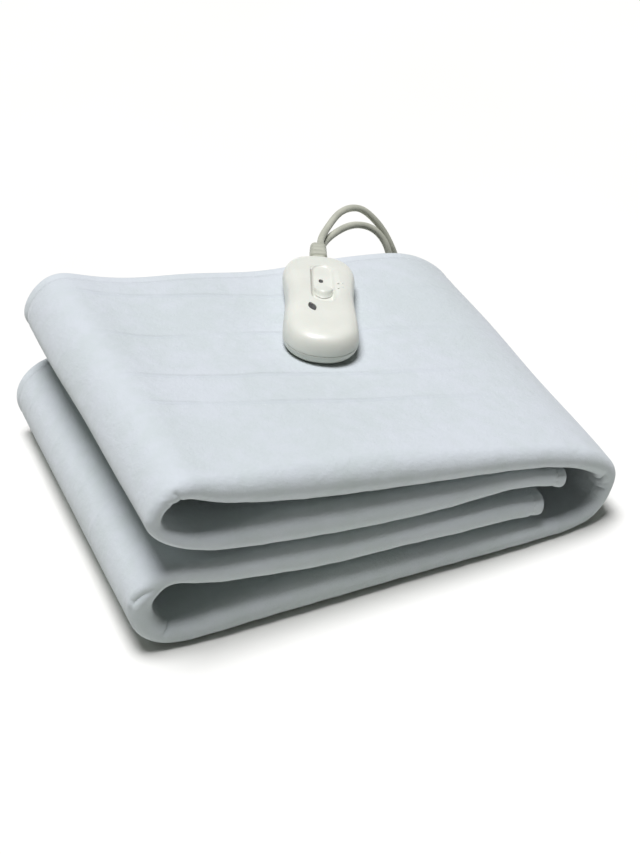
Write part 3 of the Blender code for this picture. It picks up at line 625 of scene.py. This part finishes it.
def middle_surface(cloth):
    """The folded sheet's middle: a grid of points, and each point's place on the flat sheet."""
    sections, along = fold_rows(cloth)
    x, z_front, z_back, roll, recess = sections.T
    depth = cloth.width / 2
    columns, across = [], []
    for first, share in hairpin_columns(depth):
        if share is None:
            back = roll * (1 - math.cos(first))
            rise = roll * math.sin(first)
            flat = roll * first
        else:
            back = roll + share * (depth - roll * math.pi / 2)
            rise = first * roll
            flat = first * (roll * math.pi / 2 + share * (depth - roll * math.pi / 2))
        blend = smooth_step(back / depth)
        back = back + recess * (1 - blend)
        if share is not None:
            rise = rise * (1 - (1 - BACK_OPENING) * blend)
        z = z_front + (z_back - z_front) * blend
        way = np.stack([np.gradient(x, along), np.gradient(z, along)])
        way = way / np.hypot(*way)
        px = x - way[1] * rise
        pz = np.maximum(z + way[0] * rise, cloth.ply / 2)
        columns.append(np.stack([px, FRONT_Y + back, pz], axis=1))
        across.append(depth + flat)
    points = np.stack(columns, axis=1) + CENTRING
    across = np.stack(across, axis=1)
    return points, across, np.repeat(along[:, None], across.shape[1], axis=1)


def surface_normals(points):
    down = np.gradient(points, axis=0)
    over = np.gradient(points, axis=1)
    normal = np.cross(over, down)
    return normal / np.linalg.norm(normal, axis=2, keepdims=True)


def edge_distance(cloth, across, along):
    """How far each place of the flat sheet is from the sheet's nearest edge."""
    return np.minimum.reduce([across, cloth.width - across, along, cloth.length - along])


def felt_thickness(cloth, across, along):
    """The felt's thickness: rounded at its cut edges and drawn in at the stitched hem."""
    from_edge = np.maximum(edge_distance(cloth, across, along), 0)
    rounding = cloth.ply / 2
    rounded = np.sqrt(1 - (1 - np.minimum(from_edge, rounding) / rounding) ** 2)
    drawn_in = 1 - 0.5 * np.exp(-((from_edge - HEM) / 0.0021) ** 2)
    return cloth.ply * rounded * drawn_in


def build_cloth(cloth):
    points, across, along = middle_surface(cloth)
    normal = surface_normals(points)
    standing_off = slack(cloth, points, across, along) + creasing(cloth, normal, across, along)
    points = points + normal * standing_off[..., None]
    normal = surface_normals(points)
    half = felt_thickness(cloth, across, along)[..., None] / 2
    rows, columns = across.shape
    top, bottom = points + normal * half, points - normal * half
    lift = np.maximum(0, 0.00002 - np.minimum(top[..., 2], bottom[..., 2]))
    top[..., 2] += lift
    bottom[..., 2] += lift

    index = np.arange(rows * columns).reshape(rows, columns)
    inner = index[1:-1, 1:-1]
    other = index.copy()
    other[1:-1, 1:-1] = rows * columns + np.arange(inner.size).reshape(inner.shape)
    edge = (top + bottom) / 2
    top[[0, -1], :], top[:, [0, -1]] = edge[[0, -1], :], edge[:, [0, -1]]
    vertices = np.concatenate([top.reshape(-1, 3), bottom[1:-1, 1:-1].reshape(-1, 3)])

    def quads(table, flip):
        corners = [table[:-1, :-1], table[1:, :-1], table[1:, 1:], table[:-1, 1:]]
        return np.stack(corners[::-1] if flip else corners, axis=-1).reshape(-1, 4)

    faces = np.concatenate([quads(index, True), quads(other, False)])
    mesh = bpy.data.meshes.new("folded_felt")
    mesh.from_pydata(vertices.tolist(), [], faces.tolist())
    flat = np.stack([across, along], axis=-1)
    flat = np.concatenate([flat.reshape(-1, 2), flat[1:-1, 1:-1].reshape(-1, 2)])
    chart = mesh.uv_layers.new(name="flat sheet")
    corner = np.empty(len(mesh.loops), dtype=np.int32)
    mesh.loops.foreach_get("vertex_index", corner)
    chart.data.foreach_set("uv", flat[corner].astype(np.float32).ravel())
    mesh.shade_smooth()
    piece = bpy.data.objects.new("folded_felt", mesh)
    bpy.context.scene.collection.objects.link(piece)
    close_up(piece, 0.000001)
    return piece


def slack(cloth, points, across, along):
    """How far the felt stands off its even fold: soft undulation, none where something lies on it."""
    depth = np.abs(across - cloth.width / 2)
    wave = (np.sin(along * 23.0 + 1.3) * np.sin(depth * 31.0 + along * 9.0 + 0.6)
            + 0.6 * np.sin(along * 51.0 + depth * 17.0 + 2.1)
            + 0.5 * np.sin(along * 13.0 - depth * 43.0 + 4.0))
    amount = cloth.slack * wave / 2.1
    side = np.where(across > cloth.width / 2, 1.0, -1.0)
    # Over and under plies move the same way in space, so the pocket between them keeps its height.
    amount = amount * side * smooth_step(depth / SLACK_FADE)
    amount = amount * smooth_step(edge_distance(cloth, across, along) / SLACK_FADE)
    # It lies flat under the controller.
    to_control = np.array(CONTROL_PLACE.inverted())
    x, y = (points @ to_control[:2, :3].T + to_control[:2, 3]).transpose(2, 0, 1)
    outside = np.hypot(np.maximum(abs(x) - PRESSED_FLAT[0], 0),
                       np.maximum(abs(y - CONTROL_LENGTH / 2) - PRESSED_FLAT[1], 0))
    return amount * smooth_step(outside / SLACK_FADE) * (points[..., 2] > STILL_BELOW)


def creasing(cloth, normal, across, along):
    """Ripples along the front roll, and the short pinches where the roll turns round the folds."""
    fold = across - cloth.width / 2
    outward = -np.sign(normal[:, normal.shape[1] // 2, 1].mean())
    ripple = np.sin(along * 205 + fold * 60 + 0.4) + 0.6 * np.sin(along * 331 - fold * 85 + 2.2)
    total = cloth.ripple * ripple * np.exp(-(fold / SLACK_FADE) ** 2)
    for start, end, width, depth in PINCHES:
        start, way = np.array(start), np.array(end) - np.array(start)
        share = np.clip(((fold - start[0]) * way[0] + (along - start[1]) * way[1]) / (way @ way), 0, 1)
        away = np.hypot(fold - start[0] - share * way[0], along - start[1] - share * way[1])
        groove = 0.4 * np.exp(-((away - 2.2 * width) / width) ** 2) - np.exp(-(away / width) ** 2)
        total = total + depth * groove * (1 - 0.6 * share ** 2)
    return total * outward


# ----------------------------------------------------------------- controller
def housing_plan(name, height):
    """The housing's outline: a plate with full corners, its ends drawn out and its waist drawn in."""
    half = CONTROL_WIDTH / 2
    tail_y, nose_y = TAIL_REACH, CONTROL_LENGTH - NOSE_REACH
    extent, middle = (2 * half, nose_y - tail_y + 2 * half, 1), (0, (tail_y + nose_y) / 2, height)
    piece = start_piece(name, bpy.ops.mesh.primitive_plane_add, extent, middle, size=1)
    with editing(piece):
        for side, fullness, line, reach in ((1, NOSE_FULLNESS, nose_y, NOSE_REACH),
                                            (-1, TAIL_FULLNESS, tail_y, TAIL_REACH)):
            select(piece, "VERT", lambda v, at: (at.y - line) * side > half * 0.9)
            bpy.ops.mesh.bevel(offset=half, segments=20, profile=fullness, affect="VERTICES",
                               clamp_overlap=True)
            bpy.ops.mesh.select_all(action="SELECT")
            bpy.ops.mesh.remove_doubles(threshold=0.0001)
            select(piece, "VERT", lambda v, at: (at.y - line) * side > 0.0001)
            bpy.ops.transform.resize(value=(1, reach / half, 1), center_override=(0, line, height))
        select(piece, "EDGE", lambda e, at: e.calc_length() > 0.03)
        bpy.ops.mesh.subdivide(number_cuts=21)
        select(piece, "VERT", lambda v, at: abs(at.y - WAIST_Y) < 0.0025)
        bpy.ops.transform.resize(value=(1 - WAIST, 1, 1), center_override=(0, WAIST_Y, height),
                                 use_proportional_edit=True, proportional_edit_falloff="SMOOTH",
                                 proportional_size=WAIST_REACH)
    return piece


def housing_shell(name, levels):
    """The plan raised through its levels, and drawn in at each."""
    middle, half = CONTROL_LENGTH / 2, CONTROL_WIDTH / 2
    last_inset, last_height = 0, levels[0][1]
    piece = housing_plan(name, last_height * MM)
    with editing(piece):
        select(piece, "FACE", lambda f, at: True)
        for number, (inset, height) in enumerate(levels):
            scale = ((half - inset * MM) / (half - last_inset * MM),
                     (middle - inset * MM) / (middle - last_inset * MM), 1)
            centre = (0, middle, height * MM)
            if number:
                draw_out((0, 0, (height - last_height) * MM), scale, centre)
            else:
                bpy.ops.transform.resize(value=scale, center_override=centre)
            last_inset, last_height = inset, height
    return piece


def housing_cover(name):
    """The cover: it closes along a middle line, and its nose end is lower."""
    piece = housing_shell(name, COVER_LEVELS)
    foot, crest = COVER_LEVELS[0][1] * MM, (COVER_LEVELS[-1][1] - 0.01) * MM
    with editing(piece):
        select(piece, "FACE", lambda f, at: at.z > crest)
        bpy.ops.mesh.delete(type="FACE")
        select(piece, "VERT", lambda v, at: at.z > crest)
        bpy.ops.mesh.extrude_region_move(TRANSFORM_OT_translate={"value": (0, 0, 0.00003)})
        bpy.ops.transform.resize(value=(0, 1, 1), center_override=(0, 0, 0))
        bpy.ops.mesh.select_all(action="SELECT")
        bpy.ops.mesh.remove_doubles(threshold=0.0001)
    for vertex in piece.data.vertices:
        lower = NOSE_DROP * float(smooth_step((vertex.co.y / CONTROL_LENGTH - 0.45) / 0.55))
        vertex.co.z = foot + (vertex.co.z - foot) * (1 - lower)
    return piece


def stadium(centre, half_width, half_length, grow=0.0):
    """A slot-shaped ring along y, as (x, y) points."""
    straight, radius, steps = half_length - half_width, half_width + grow, 20
    angles = [(end, math.pi * (i / steps + (end < 0))) for end in (1, -1) for i in range(steps + 1)]
    return [(centre[0] + radius * math.cos(angle), centre[1] + end * straight + radius * math.sin(angle))
            for end, angle in angles]


def height_finder(piece):
    """A function that gives the height of a piece's top over a place."""
    bpy.context.view_layer.update()
    top = BVHTree.FromObject(piece, bpy.context.evaluated_depsgraph_get())
    return lambda x, y: top.ray_cast(Vector((x, y, 0.05)), Vector((0, 0, -1)))[0].z


def scoop_tool(cover):
    """The slider's recess: a sloped left wall with a crisp edge, and a lip that is soft on the right."""
    height = height_finder(cover)
    middle, tail = SCOOP_CENTRE[0], SCOOP_CENTRE[1] - SCOOP_HALF_LENGTH
    first, last = tail + SCOOP_HALF_WIDTH, tail + 2 * SCOOP_HALF_LENGTH - SCOOP_HALF_WIDTH

    def left_share(x):
        return float(smooth_step((middle - x) / SCOOP_HALF_WIDTH))

    rings = []
    # The floor and the wall: how far past the outline, how high and how much of the slope.
    for grow, rise, lean in ((-0.0022, 0.0, 1.0), (-0.0012, 0.00008, 0.97), (-0.0005, 0.0004, 0.9),
                             (-0.0001, 0.0010, 0.78)):
        rings.append([(x + SCOOP_LEAN * lean * left_share(x), y, SCOOP_FLOOR + rise)
                      for x, y in stadium(SCOOP_CENTRE, SCOOP_HALF_WIDTH, SCOOP_HALF_LENGTH, grow)])
    # The lip: how far past the outline, and how far under the cover's top.
    for grow, under in ((0.0001, 0.0009), (0.0003, 0.0004), (0.0007, 0.00012), (0.0014, -0.00004),
                        (0.0018, -0.004)):
        ring = []
        for x, y in stadium(SCOOP_CENTRE, SCOOP_HALF_WIDTH, SCOOP_HALF_LENGTH):
            left, right = left_share(x), float(smooth_step((x - middle) / SCOOP_HALF_WIDTH))
            end = float(smooth_step((tail + 0.012 - y) / 0.012))
            soft = 0.6 + 0.4 * (1 - left) + 2.2 * right + 1.0 * end * (1 - left)
            away = Vector((x - middle, y - min(max(y, first), last))).normalized() * grow * soft
            x, y = x + away.x, y + away.y
            drop = under * soft if under > 0 else under
            ring.append((x, y, max(height(x, y) - drop, SCOOP_FLOOR + 0.0012)))
        rings.append(ring)
    return tool_solid("scoop", rings)


def lens_plan(name, grow, height):
    """The indicator's leaf outline, turned to its place."""
    half_length = LENS_HALF_LENGTH + grow
    piece = disc(name, LENS_HALF_WIDTH + grow, half_length, (0, 0), height, 40)
    with editing(piece):
        # Its ends are drawn in step by step, to blunt points.
        for share, scale in LENS_ENDS:
            select(piece, "VERT", lambda v, at: abs(at.y) > half_length * share)
            bpy.ops.transform.resize(value=(scale, 1, 1), center_override=(0, 0, height))
    piece.data.transform(Matrix.Translation((*LENS_CENTRE, 0)) @ Matrix.Rotation(LENS_TURN, 4, "Z"))
    return piece


def build_lens(name):
    piece = lens_plan(name, 0, LENS_SEAT)
    dome(piece, LENS_CENTRE, ((LENS_TOP - LENS_SEAT - 0.0008, 1), (0.0003, 0.95), (0.0002, 0.90),
                              (0.00015, 0.78), (0.0001, 0.6), (0.00005, 0.4)))
    return piece


def knob_height(x, y):
    """The slider's top: a steep face round its tail, a crown that falls to its sides, a soft rim."""
    side = min(abs(x) / KNOB_HALF_WIDTH, 1.0)
    edge = KNOB_WIDEST * (1 - math.sqrt(1 - side ** 2))
    climb = float(smooth_step((y - edge) / KNOB_FACE)) * (1 - 0.35 * side ** 2)
    reach = KNOB_WIDEST if y < KNOB_WIDEST else KNOB_LENGTH - KNOB_WIDEST
    rim = max(math.hypot(side, (y - KNOB_WIDEST) / reach) - 0.9, 0.0) / 0.1
    return SCOOP_FLOOR + KNOB_TOE + (KNOB_TOP - SCOOP_FLOOR - KNOB_TOE) * climb - 0.0004 * rim ** 2


def build_knob(name):
    """The slider's button: a plate of rings, deep at the tail and flat at the nose, raised to its crown."""
    floor, middle = SCOOP_FLOOR + KNOB_CLEARANCE, (0, KNOB_WIDEST)
    piece = disc(name, KNOB_HALF_WIDTH, KNOB_WIDEST, middle, floor, 96)
    with editing(piece):
        select(piece, "VERT", lambda v, at: at.y > KNOB_WIDEST + 0.00001)
        bpy.ops.transform.resize(value=(1, KNOB_LENGTH / KNOB_WIDEST - 1, 1), center_override=(*middle, 0))
    dome(piece, middle, [(0, size / before) for before, size in zip((1, *KNOB_RINGS), KNOB_RINGS)])
    with editing(piece):
        bpy.ops.mesh.select_all(action="SELECT")
        bpy.ops.mesh.extrude_region_move(TRANSFORM_OT_translate={"value": (0, 0, MM)})
    for vertex in piece.data.vertices:
        if vertex.co.z > floor + MM / 2:
            vertex.co.z = knob_height(vertex.co.x, vertex.co.y)
    piece.data.transform(Matrix.Translation((KNOB_X, KNOB_TAIL, 0)))
    return piece


def build_sleeve(name):
    """The cord sleeve: a rounded bar drawn out from the nose, with two shallow grooves round it."""
    return drawn_bar(name, 1, (0, CONTROL_LENGTH + FIRST_SLICE * MM, SLEEVE_HEIGHT), SLEEVE, 0.0032, 6)


def window_insert(name):
    """The dark window in the recess's floor, slightly domed."""
    half_width, half_length = (size - 0.0001 for size in WINDOW_HALF)
    piece = disc(name, half_width, half_length, WINDOW_CENTRE, SCOOP_FLOOR - 0.0017, 32)
    dome(piece, WINDOW_CENTRE, ((0.0013, 1), (0.0002, 0.85), (0.0001, 0.5)))
    return piece


def setting_marks(name, cover):
    """Four plain raised dots beside the recess, one for each place of the slider, as one piece."""
    height = height_finder(cover)
    dots = [disc(name, radius, radius, (x, y), height(x, y) - GAP, 16) for x, y, radius in MARKS]
    for dot, (x, y, _) in zip(dots, MARKS):
        dome(dot, (x, y), ((0.00060, 1), (0.00016, 0.75), (0.00005, 0.4)))
    select_only(*dots)
    bpy.ops.object.join()
    return dots[0]


# ---------------------------------------------------------------------- cords
def cord_start(offset):
    """Two points that leave the sleeve's end face squarely."""
    end = CONTROL_LENGTH + SLEEVE_LENGTH
    return [CONTROL_PLACE @ Vector((offset[0], end + out, SLEEVE_HEIGHT + offset[1]))
            for out in (GAP, 0.006)]


def smooth_route(points, spacing):
    """Points a spacing apart on a smooth curve through the route's own points."""
    points = np.array([tuple(p) for p in points])
    knots = np.r_[0, np.cumsum(np.linalg.norm(np.diff(points, axis=0), axis=1))]
    count = round(knots[-1] / spacing) + 1
    return natural_spline(knots, points, np.linspace(0, knots[-1], count))


def winding():
    """The coil's centreline: in below it, three turns inwards, up, three turns outwards, and off."""
    floor, low, high = 0.0033, 0.0046, 0.0108
    inner, middle, outer, lane = 0.0268, 0.0330, 0.0392, 0.0455
    # Angle, in degrees, at which each step ends, with the radius and height held there.
    steps = [(90, lane, floor), (150, lane, floor), (270, outer, low), (510, outer, low),
             (630, middle, low), (870, middle, low), (990, inner, low), (1140, inner, low),
             (1230, inner, high), (1380, inner, high), (1500, middle, high), (1740, middle, high),
             (1860, outer, high), (2100, outer, high), (2220, lane, high), (2295, lane, high)]
    points = []
    for (angle, radius, height), (end, next_radius, next_height) in zip(steps, steps[1:]):
        count = max(round((end - angle) / COIL_STEP), 1)
        for i in range(count):
            share = float(smooth_step(i / count))
            turn = math.radians(angle + (end - angle) * i / count)
            reach = radius + (next_radius - radius) * share
            points.append((COIL_CENTRE[0] + reach * math.cos(turn), COIL_CENTRE[1] + reach * math.sin(turn),
                           height + (next_height - height) * share))
    return points


def cord_curve(name, points, cords):
    """A round cord on one open spline through the route."""
    curve = bpy.data.curves.new(name, "CURVE")
    curve.dimensions = "3D"
    curve.bevel_depth = cords.diameter / 2
    curve.bevel_resolution = 4
    curve.use_fill_caps = True
    spline = curve.splines.new("POLY")
    route = smooth_route(points, CORD_STEP)
    spline.points.add(len(route) - 1)
    for point, place in zip(spline.points, route):
        point.co = (*place, 1)
    spline.use_smooth = True
    piece = bpy.data.objects.new(name, curve)
    bpy.context.scene.collection.objects.link(piece)
    return piece


def in_part(points):
    """Points of the drawing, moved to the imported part's frame."""
    return [Vector(point) + Vector(CENTRING) for point in points]


# ----------------------------------------------------------------------- plug
def build_plug(name):
    """The flat mains plug: its body drawn out from the pin face to a ribbed strain relief."""
    return drawn_bar(name, 0, in_part([(PLUG_FACE_X, PLUG_Y, PLUG_MIDDLE)])[0], PLUG, 0.0046, 7)


def build_pin(name, side):
    """One round pin, with an insulated root that stands slightly proud of its tip."""
    piece = disc(name, PIN_RADIUS, PIN_RADIUS, (0, 0), 0, 32)
    dome(piece, (0, 0), PIN_STEPS)
    root = in_part([(PLUG_FACE_X - GAP, PLUG_Y + side * PIN_SPACING / 2, PLUG_MIDDLE)])[0]
    piece.data.transform(Matrix.Translation(root) @ Matrix.Rotation(-math.pi / 2, 4, "Y"))
    return piece


# ------------------------------------------------------------------- settings
def length_setting(name, description, default, low, high):
    return FloatProperty(name=name, description=description, default=default, min=low, max=high,
                         unit="LENGTH")


def colour_setting(name, description, *default):
    return FloatVectorProperty(name=name, description=description, size=3, default=default, min=0, max=1,
                               subtype="COLOR")


class BlanketCloth(bpy.types.PropertyGroup):
    width: length_setting("Width", "The sheet's flat width, before it is doubled", 0.600, 0.3, 2.0)
    length: length_setting("Length", "The sheet's flat length", 1.490, 0.5, 2.5)
    ply: length_setting("Felt thickness", "Thickness of one ply", 0.0034, 0.001, 0.01)
    slack: length_setting("Slack", "How far the felt undulates from its even fold", 0.0010, 0.0, 0.003)
    ripple: length_setting("Ripple", "How far the front roll ripples", 0.00015, 0.0, 0.002)
    nap: FloatProperty(name="Nap", description="Strength of the felt's surface relief",
                       default=0.75, min=0.0, max=1.0, subtype="FACTOR")
    colour: colour_setting("Felt", "The felt's lighter colour", 0.525, 0.570, 0.580)
    shade: colour_setting("Felt, shaded", "The felt's darker colour", 0.490, 0.545, 0.535)


class BlanketControl(bpy.types.PropertyGroup):
    colour: colour_setting("Housing", "The housing's colour", 0.66, 0.68, 0.60)
    shade: colour_setting("Housing, aged", "Its slightly darker patches", 0.63, 0.65, 0.57)
    lens: colour_setting("Windows", "The two dark windows' colour", 0.060, 0.062, 0.060)


class BlanketCords(bpy.types.PropertyGroup):
    diameter: length_setting("Diameter", "Diameter of both cords", 0.006, 0.003, 0.010)
    colour: colour_setting("Sheath", "The sheath's lighter colour", 0.43, 0.445, 0.36)
    shade: colour_setting("Sheath, clouded", "The sheath's darker colour", 0.37, 0.385, 0.31)


class BlanketStage(bpy.types.PropertyGroup):
    key: FloatProperty(name="Key light", description="Strength of the soft overhead light",
                       default=4.5, min=0, max=20)
    softness: FloatProperty(name="Key softness", description="How wide the overhead light is, as an angle",
                            default=math.radians(26), min=0, max=math.pi, subtype="ANGLE")
    sky: FloatProperty(name="Surround", description="Strength of the surround's light",
                       default=0.07, min=0, max=5)
    floor: colour_setting("Floor", "The floor's colour", 0.71, 0.72, 0.67)


def finish_of(name, make, *values):
    """A finish that several pieces share: made once, then found by its name."""
    return bpy.data.materials.get(name) or make(*values)


# ------------------------------------------------------------------ operators
class MakeStage(bpy.types.Operator):
    """Set the floor, the studio lights and the camera."""

    bl_idname = "blanket.stage"
    bl_label = "Stage"

    def execute(self, context):
        settings = context.scene.blanket_stage
        scene = context.scene
        scene.view_settings.view_transform = "Standard"
        bpy.ops.object.select_all(action="DESELECT")
        bpy.ops.mesh.primitive_plane_add(size=FLOOR_SIZE, location=(0, 0, 0))
        floor = context.active_object
        floor.name = "floor"
        made, shader, place = new_finish("floor", Roughness=0.7)
        grain = place.noise(3, 2).fade(0.3, 0.7)
        grain.blend(settings.floor, settings.floor * 1.02).feed(shader, "Base Color")
        floor.data.materials.append(made)

        # The surround looks white, and lights the object a little.
        world = bpy.data.worlds.new("surround")
        world.use_nodes = True
        surround = Socket(world.node_tree)
        shown = surround.node("ShaderNodeLightPath")
        background = world.node_tree.nodes["Background"]
        background.inputs["Color"].default_value = SURROUND_COLOUR
        (shown * (1.0 - settings.sky) + settings.sky).feed(background, "Strength")
        scene.world = world
        light = bpy.data.lights.new("overhead light", "SUN")
        light.energy, light.angle, light.color = settings.key, settings.softness, LIGHT_COLOUR
        lamp = bpy.data.objects.new("overhead light", light)
        lamp.location = (-0.25, 0.30, 1.5)
        lamp.rotation_euler = Vector(LIGHT_WAY).to_track_quat("-Z", "Y").to_euler()
        scene.collection.objects.link(lamp)

        forward = Vector(CAMERA_FORWARD).normalized()
        right = Vector(CAMERA_RIGHT)
        right = (right - forward * right.dot(forward)).normalized()
        up = right.cross(forward)
        lens = bpy.data.cameras.new("camera")
        lens.sensor_width, lens.lens = SENSOR, FOCAL_PIXELS * SENSOR / PHOTO_HEIGHT
        camera = bpy.data.objects.new("camera", lens)
        turn = Matrix((right, up, -forward)).transposed().to_4x4()
        camera.matrix_world = Matrix.Translation(CAMERA_PLACE) @ turn
        scene.collection.objects.link(camera)
        scene.camera = camera
        return {"FINISHED"}


class MakeCords(bpy.types.Operator):
    """Make the blanket's lead and the mains cord, with its coil and tie, and the lead's fitting."""

    bl_idname = "blanket.cords"
    bl_label = "Cords"

    def execute(self, context):
        cords = context.scene.blanket_cords
        sheath = finish_of("cord sheath", sheath_finish, cords)
        lead = cord_curve("blanket_lead_cord", cord_start(LEAD_EXIT) + in_part(LEAD_ROUTE), cords)
        settle(lead, sheath, "blanket", "cord_rubber", "blanket_lead")
        route = cord_start(MAINS_EXIT) + in_part(MAINS_ROUTE + winding() + TAIL_ROUTE)
        mains = cord_curve("mains_cord", route, cords)
        settle(mains, sheath, "blanket", "cord_rubber", "mains_lead", "mains_coil", "mains_tail")
        dress_node("lead_entry", sheath, 0.0004)
        dress_node("coil_tie", finish_of("tie strap", strap_finish), 0.0002)
        return {"FINISHED"}


class MakePlug(bpy.types.Operator):
    """Make the mains plug and its two pins."""

    bl_idname = "blanket.plug"
    bl_label = "Mains plug"

    def execute(self, context):
        body = build_plug("mains_plug")
        close_up(body)
        smooth(body, 40)
        settle(body, finish_of("cord sheath", sheath_finish, context.scene.blanket_cords), "blanket",
               "cord_rubber", "plug_body")
        for end, side in (("front", -1), ("back", 1)):
            pin = build_pin(f"mains_pin_{end}", side)
            close_up(pin)
            smooth(pin, 30)
            settle(pin, finish_of("plated pins", pin_finish), "blanket", "pin_metal", f"plug_pin_{end}")
        return {"FINISHED"}


class MakeCloth(bpy.types.Operator):
    """Make the folded felt sheet."""

    bl_idname = "blanket.cloth"
    bl_label = "Folded felt"

    def execute(self, context):
        cloth = context.scene.blanket_cloth
        piece = build_cloth(cloth)
        settle(piece, felt_finish(cloth), "blanket", "felt", "blanket_cloth")
        return {"FINISHED"}


class MakeHousing(bpy.types.Operator):
    """Make the hand controller's housing, with its recess, window and lens openings."""

    bl_idname = "blanket.housing"
    bl_label = "Controller housing"

    def execute(self, context):
        shell = finish_of("housing plastic", shell_finish, context.scene.blanket_control)
        base = housing_shell("housing_base", BASE_LEVELS)
        cover = housing_cover("housing_cover")
        for piece in (base, cover):
            close_up(piece)
        marks = setting_marks("setting_marks", cover)
        cut(cover, scoop_tool(cover))
        slot_middle = (KNOB_X, (SLOT_START + SLOT_END) / 2)
        for name, centre, half_width, half_length, depth in (
                ("slot", slot_middle, SLOT_HALF_WIDTH, (SLOT_END - SLOT_START) / 2, SLOT_DEPTH),
                ("window", WINDOW_CENTRE, *WINDOW_HALF, WINDOW_DEPTH)):
            outline = stadium(centre, half_width, half_length)
            cut(cover, tool_solid(name, [[(x, y, height) for x, y in outline]
                                         for height in (SCOOP_FLOOR - depth, SCOOP_FLOOR + MM)]))
        seat = lens_plan("seat", GAP, LENS_SEAT - GAP)
        dome(seat, LENS_CENTRE, ((0.009, 1),))
        close_up(seat)
        cut(cover, seat)
        for piece in (base, cover):
            cut(piece, start_piece("socket", bpy.ops.mesh.primitive_cube_add, SLEEVE_SOCKET,
                                   (0, CONTROL_LENGTH + 0.0033, SLEEVE_HEIGHT), size=1))
        for piece, angle, nodes in ((base, 32, ["controller_base"]), (cover, 32, ["controller_cover"]),
                                    (marks, 40, [])):
            smooth(piece, angle)
            piece.data.transform(CONTROL_PLACE)
            settle(piece, shell, "blanket", "housing_plastic", *nodes)
        return {"FINISHED"}


class MakeTrim(bpy.types.Operator):
    """Make the controller's slider, lens, window and cord sleeve."""

    bl_idname = "blanket.trim"
    bl_label = "Slider, lens and sleeve"

    def execute(self, context):
        control = context.scene.blanket_control
        shell = finish_of("housing plastic", shell_finish, control)
        dark = finish_of("dark window", dark_finish, control)
        sheath = finish_of("cord sheath", sheath_finish, context.scene.blanket_cords)
        for piece, finish, body, slot, nodes in (
                (build_knob("setting_slider"), shell, "slider", "housing_plastic", ["slider_knob"]),
                (build_lens("indicator"), dark, "blanket", "lens_plastic", ["indicator_lens"]),
                (window_insert("setting_window"), dark, "blanket", "lens_plastic", []),
                (build_sleeve("nose_sleeve"), sheath, "blanket", "cord_rubber", ["cord_sleeve"])):
            close_up(piece)
            smooth(piece, 40)
            piece.data.transform(CONTROL_PLACE)
            settle(piece, finish, body, slot, *nodes)
        return {"FINISHED"}


class BlanketPanel(bpy.types.Panel):
    """The pieces of the heated blanket, and the sizes and colours that they are made with."""

    bl_idname = "VIEW3D_PT_blanket"
    bl_label = "Electric heated blanket"
    bl_space_type = "VIEW_3D"
    bl_region_type = "UI"
    bl_category = "Blanket"

    def draw(self, context):
        for settings, makers in ((context.scene.blanket_stage, [MakeStage]),
                                 (context.scene.blanket_cords, [MakePlug, MakeCords]),
                                 (context.scene.blanket_cloth, [MakeCloth]),
                                 (context.scene.blanket_control, [MakeHousing, MakeTrim])):
            box = self.layout.box()
            for name in settings.__annotations__:
                box.prop(settings, name)
            for maker in makers:
                box.operator(maker.bl_idname)


SETTINGS = {"blanket_cloth": BlanketCloth, "blanket_control": BlanketControl,
            "blanket_cords": BlanketCords, "blanket_stage": BlanketStage}
MAKERS = (MakeStage, MakePlug, MakeCords, MakeCloth, MakeHousing, MakeTrim)


def register():
    for kind in (*SETTINGS.values(), *MAKERS, BlanketPanel):
        bpy.utils.register_class(kind)
    for name, kind in SETTINGS.items():
        setattr(bpy.types.Scene, name, PointerProperty(type=kind))


def unregister():
    for name in SETTINGS:
        delattr(bpy.types.Scene, name)
    for kind in reversed((*SETTINGS.values(), *MAKERS, BlanketPanel)):
        bpy.utils.unregister_class(kind)


def main():
    register()
    bpy.ops.blanket.stage()
    bpy.ops.blanket.plug()
    bpy.ops.blanket.cords()
    bpy.ops.blanket.cloth()
    bpy.ops.blanket.housing()
    bpy.ops.blanket.trim()
    bpy.context.view_layer.update()


if __name__ == "__main__":
    main()
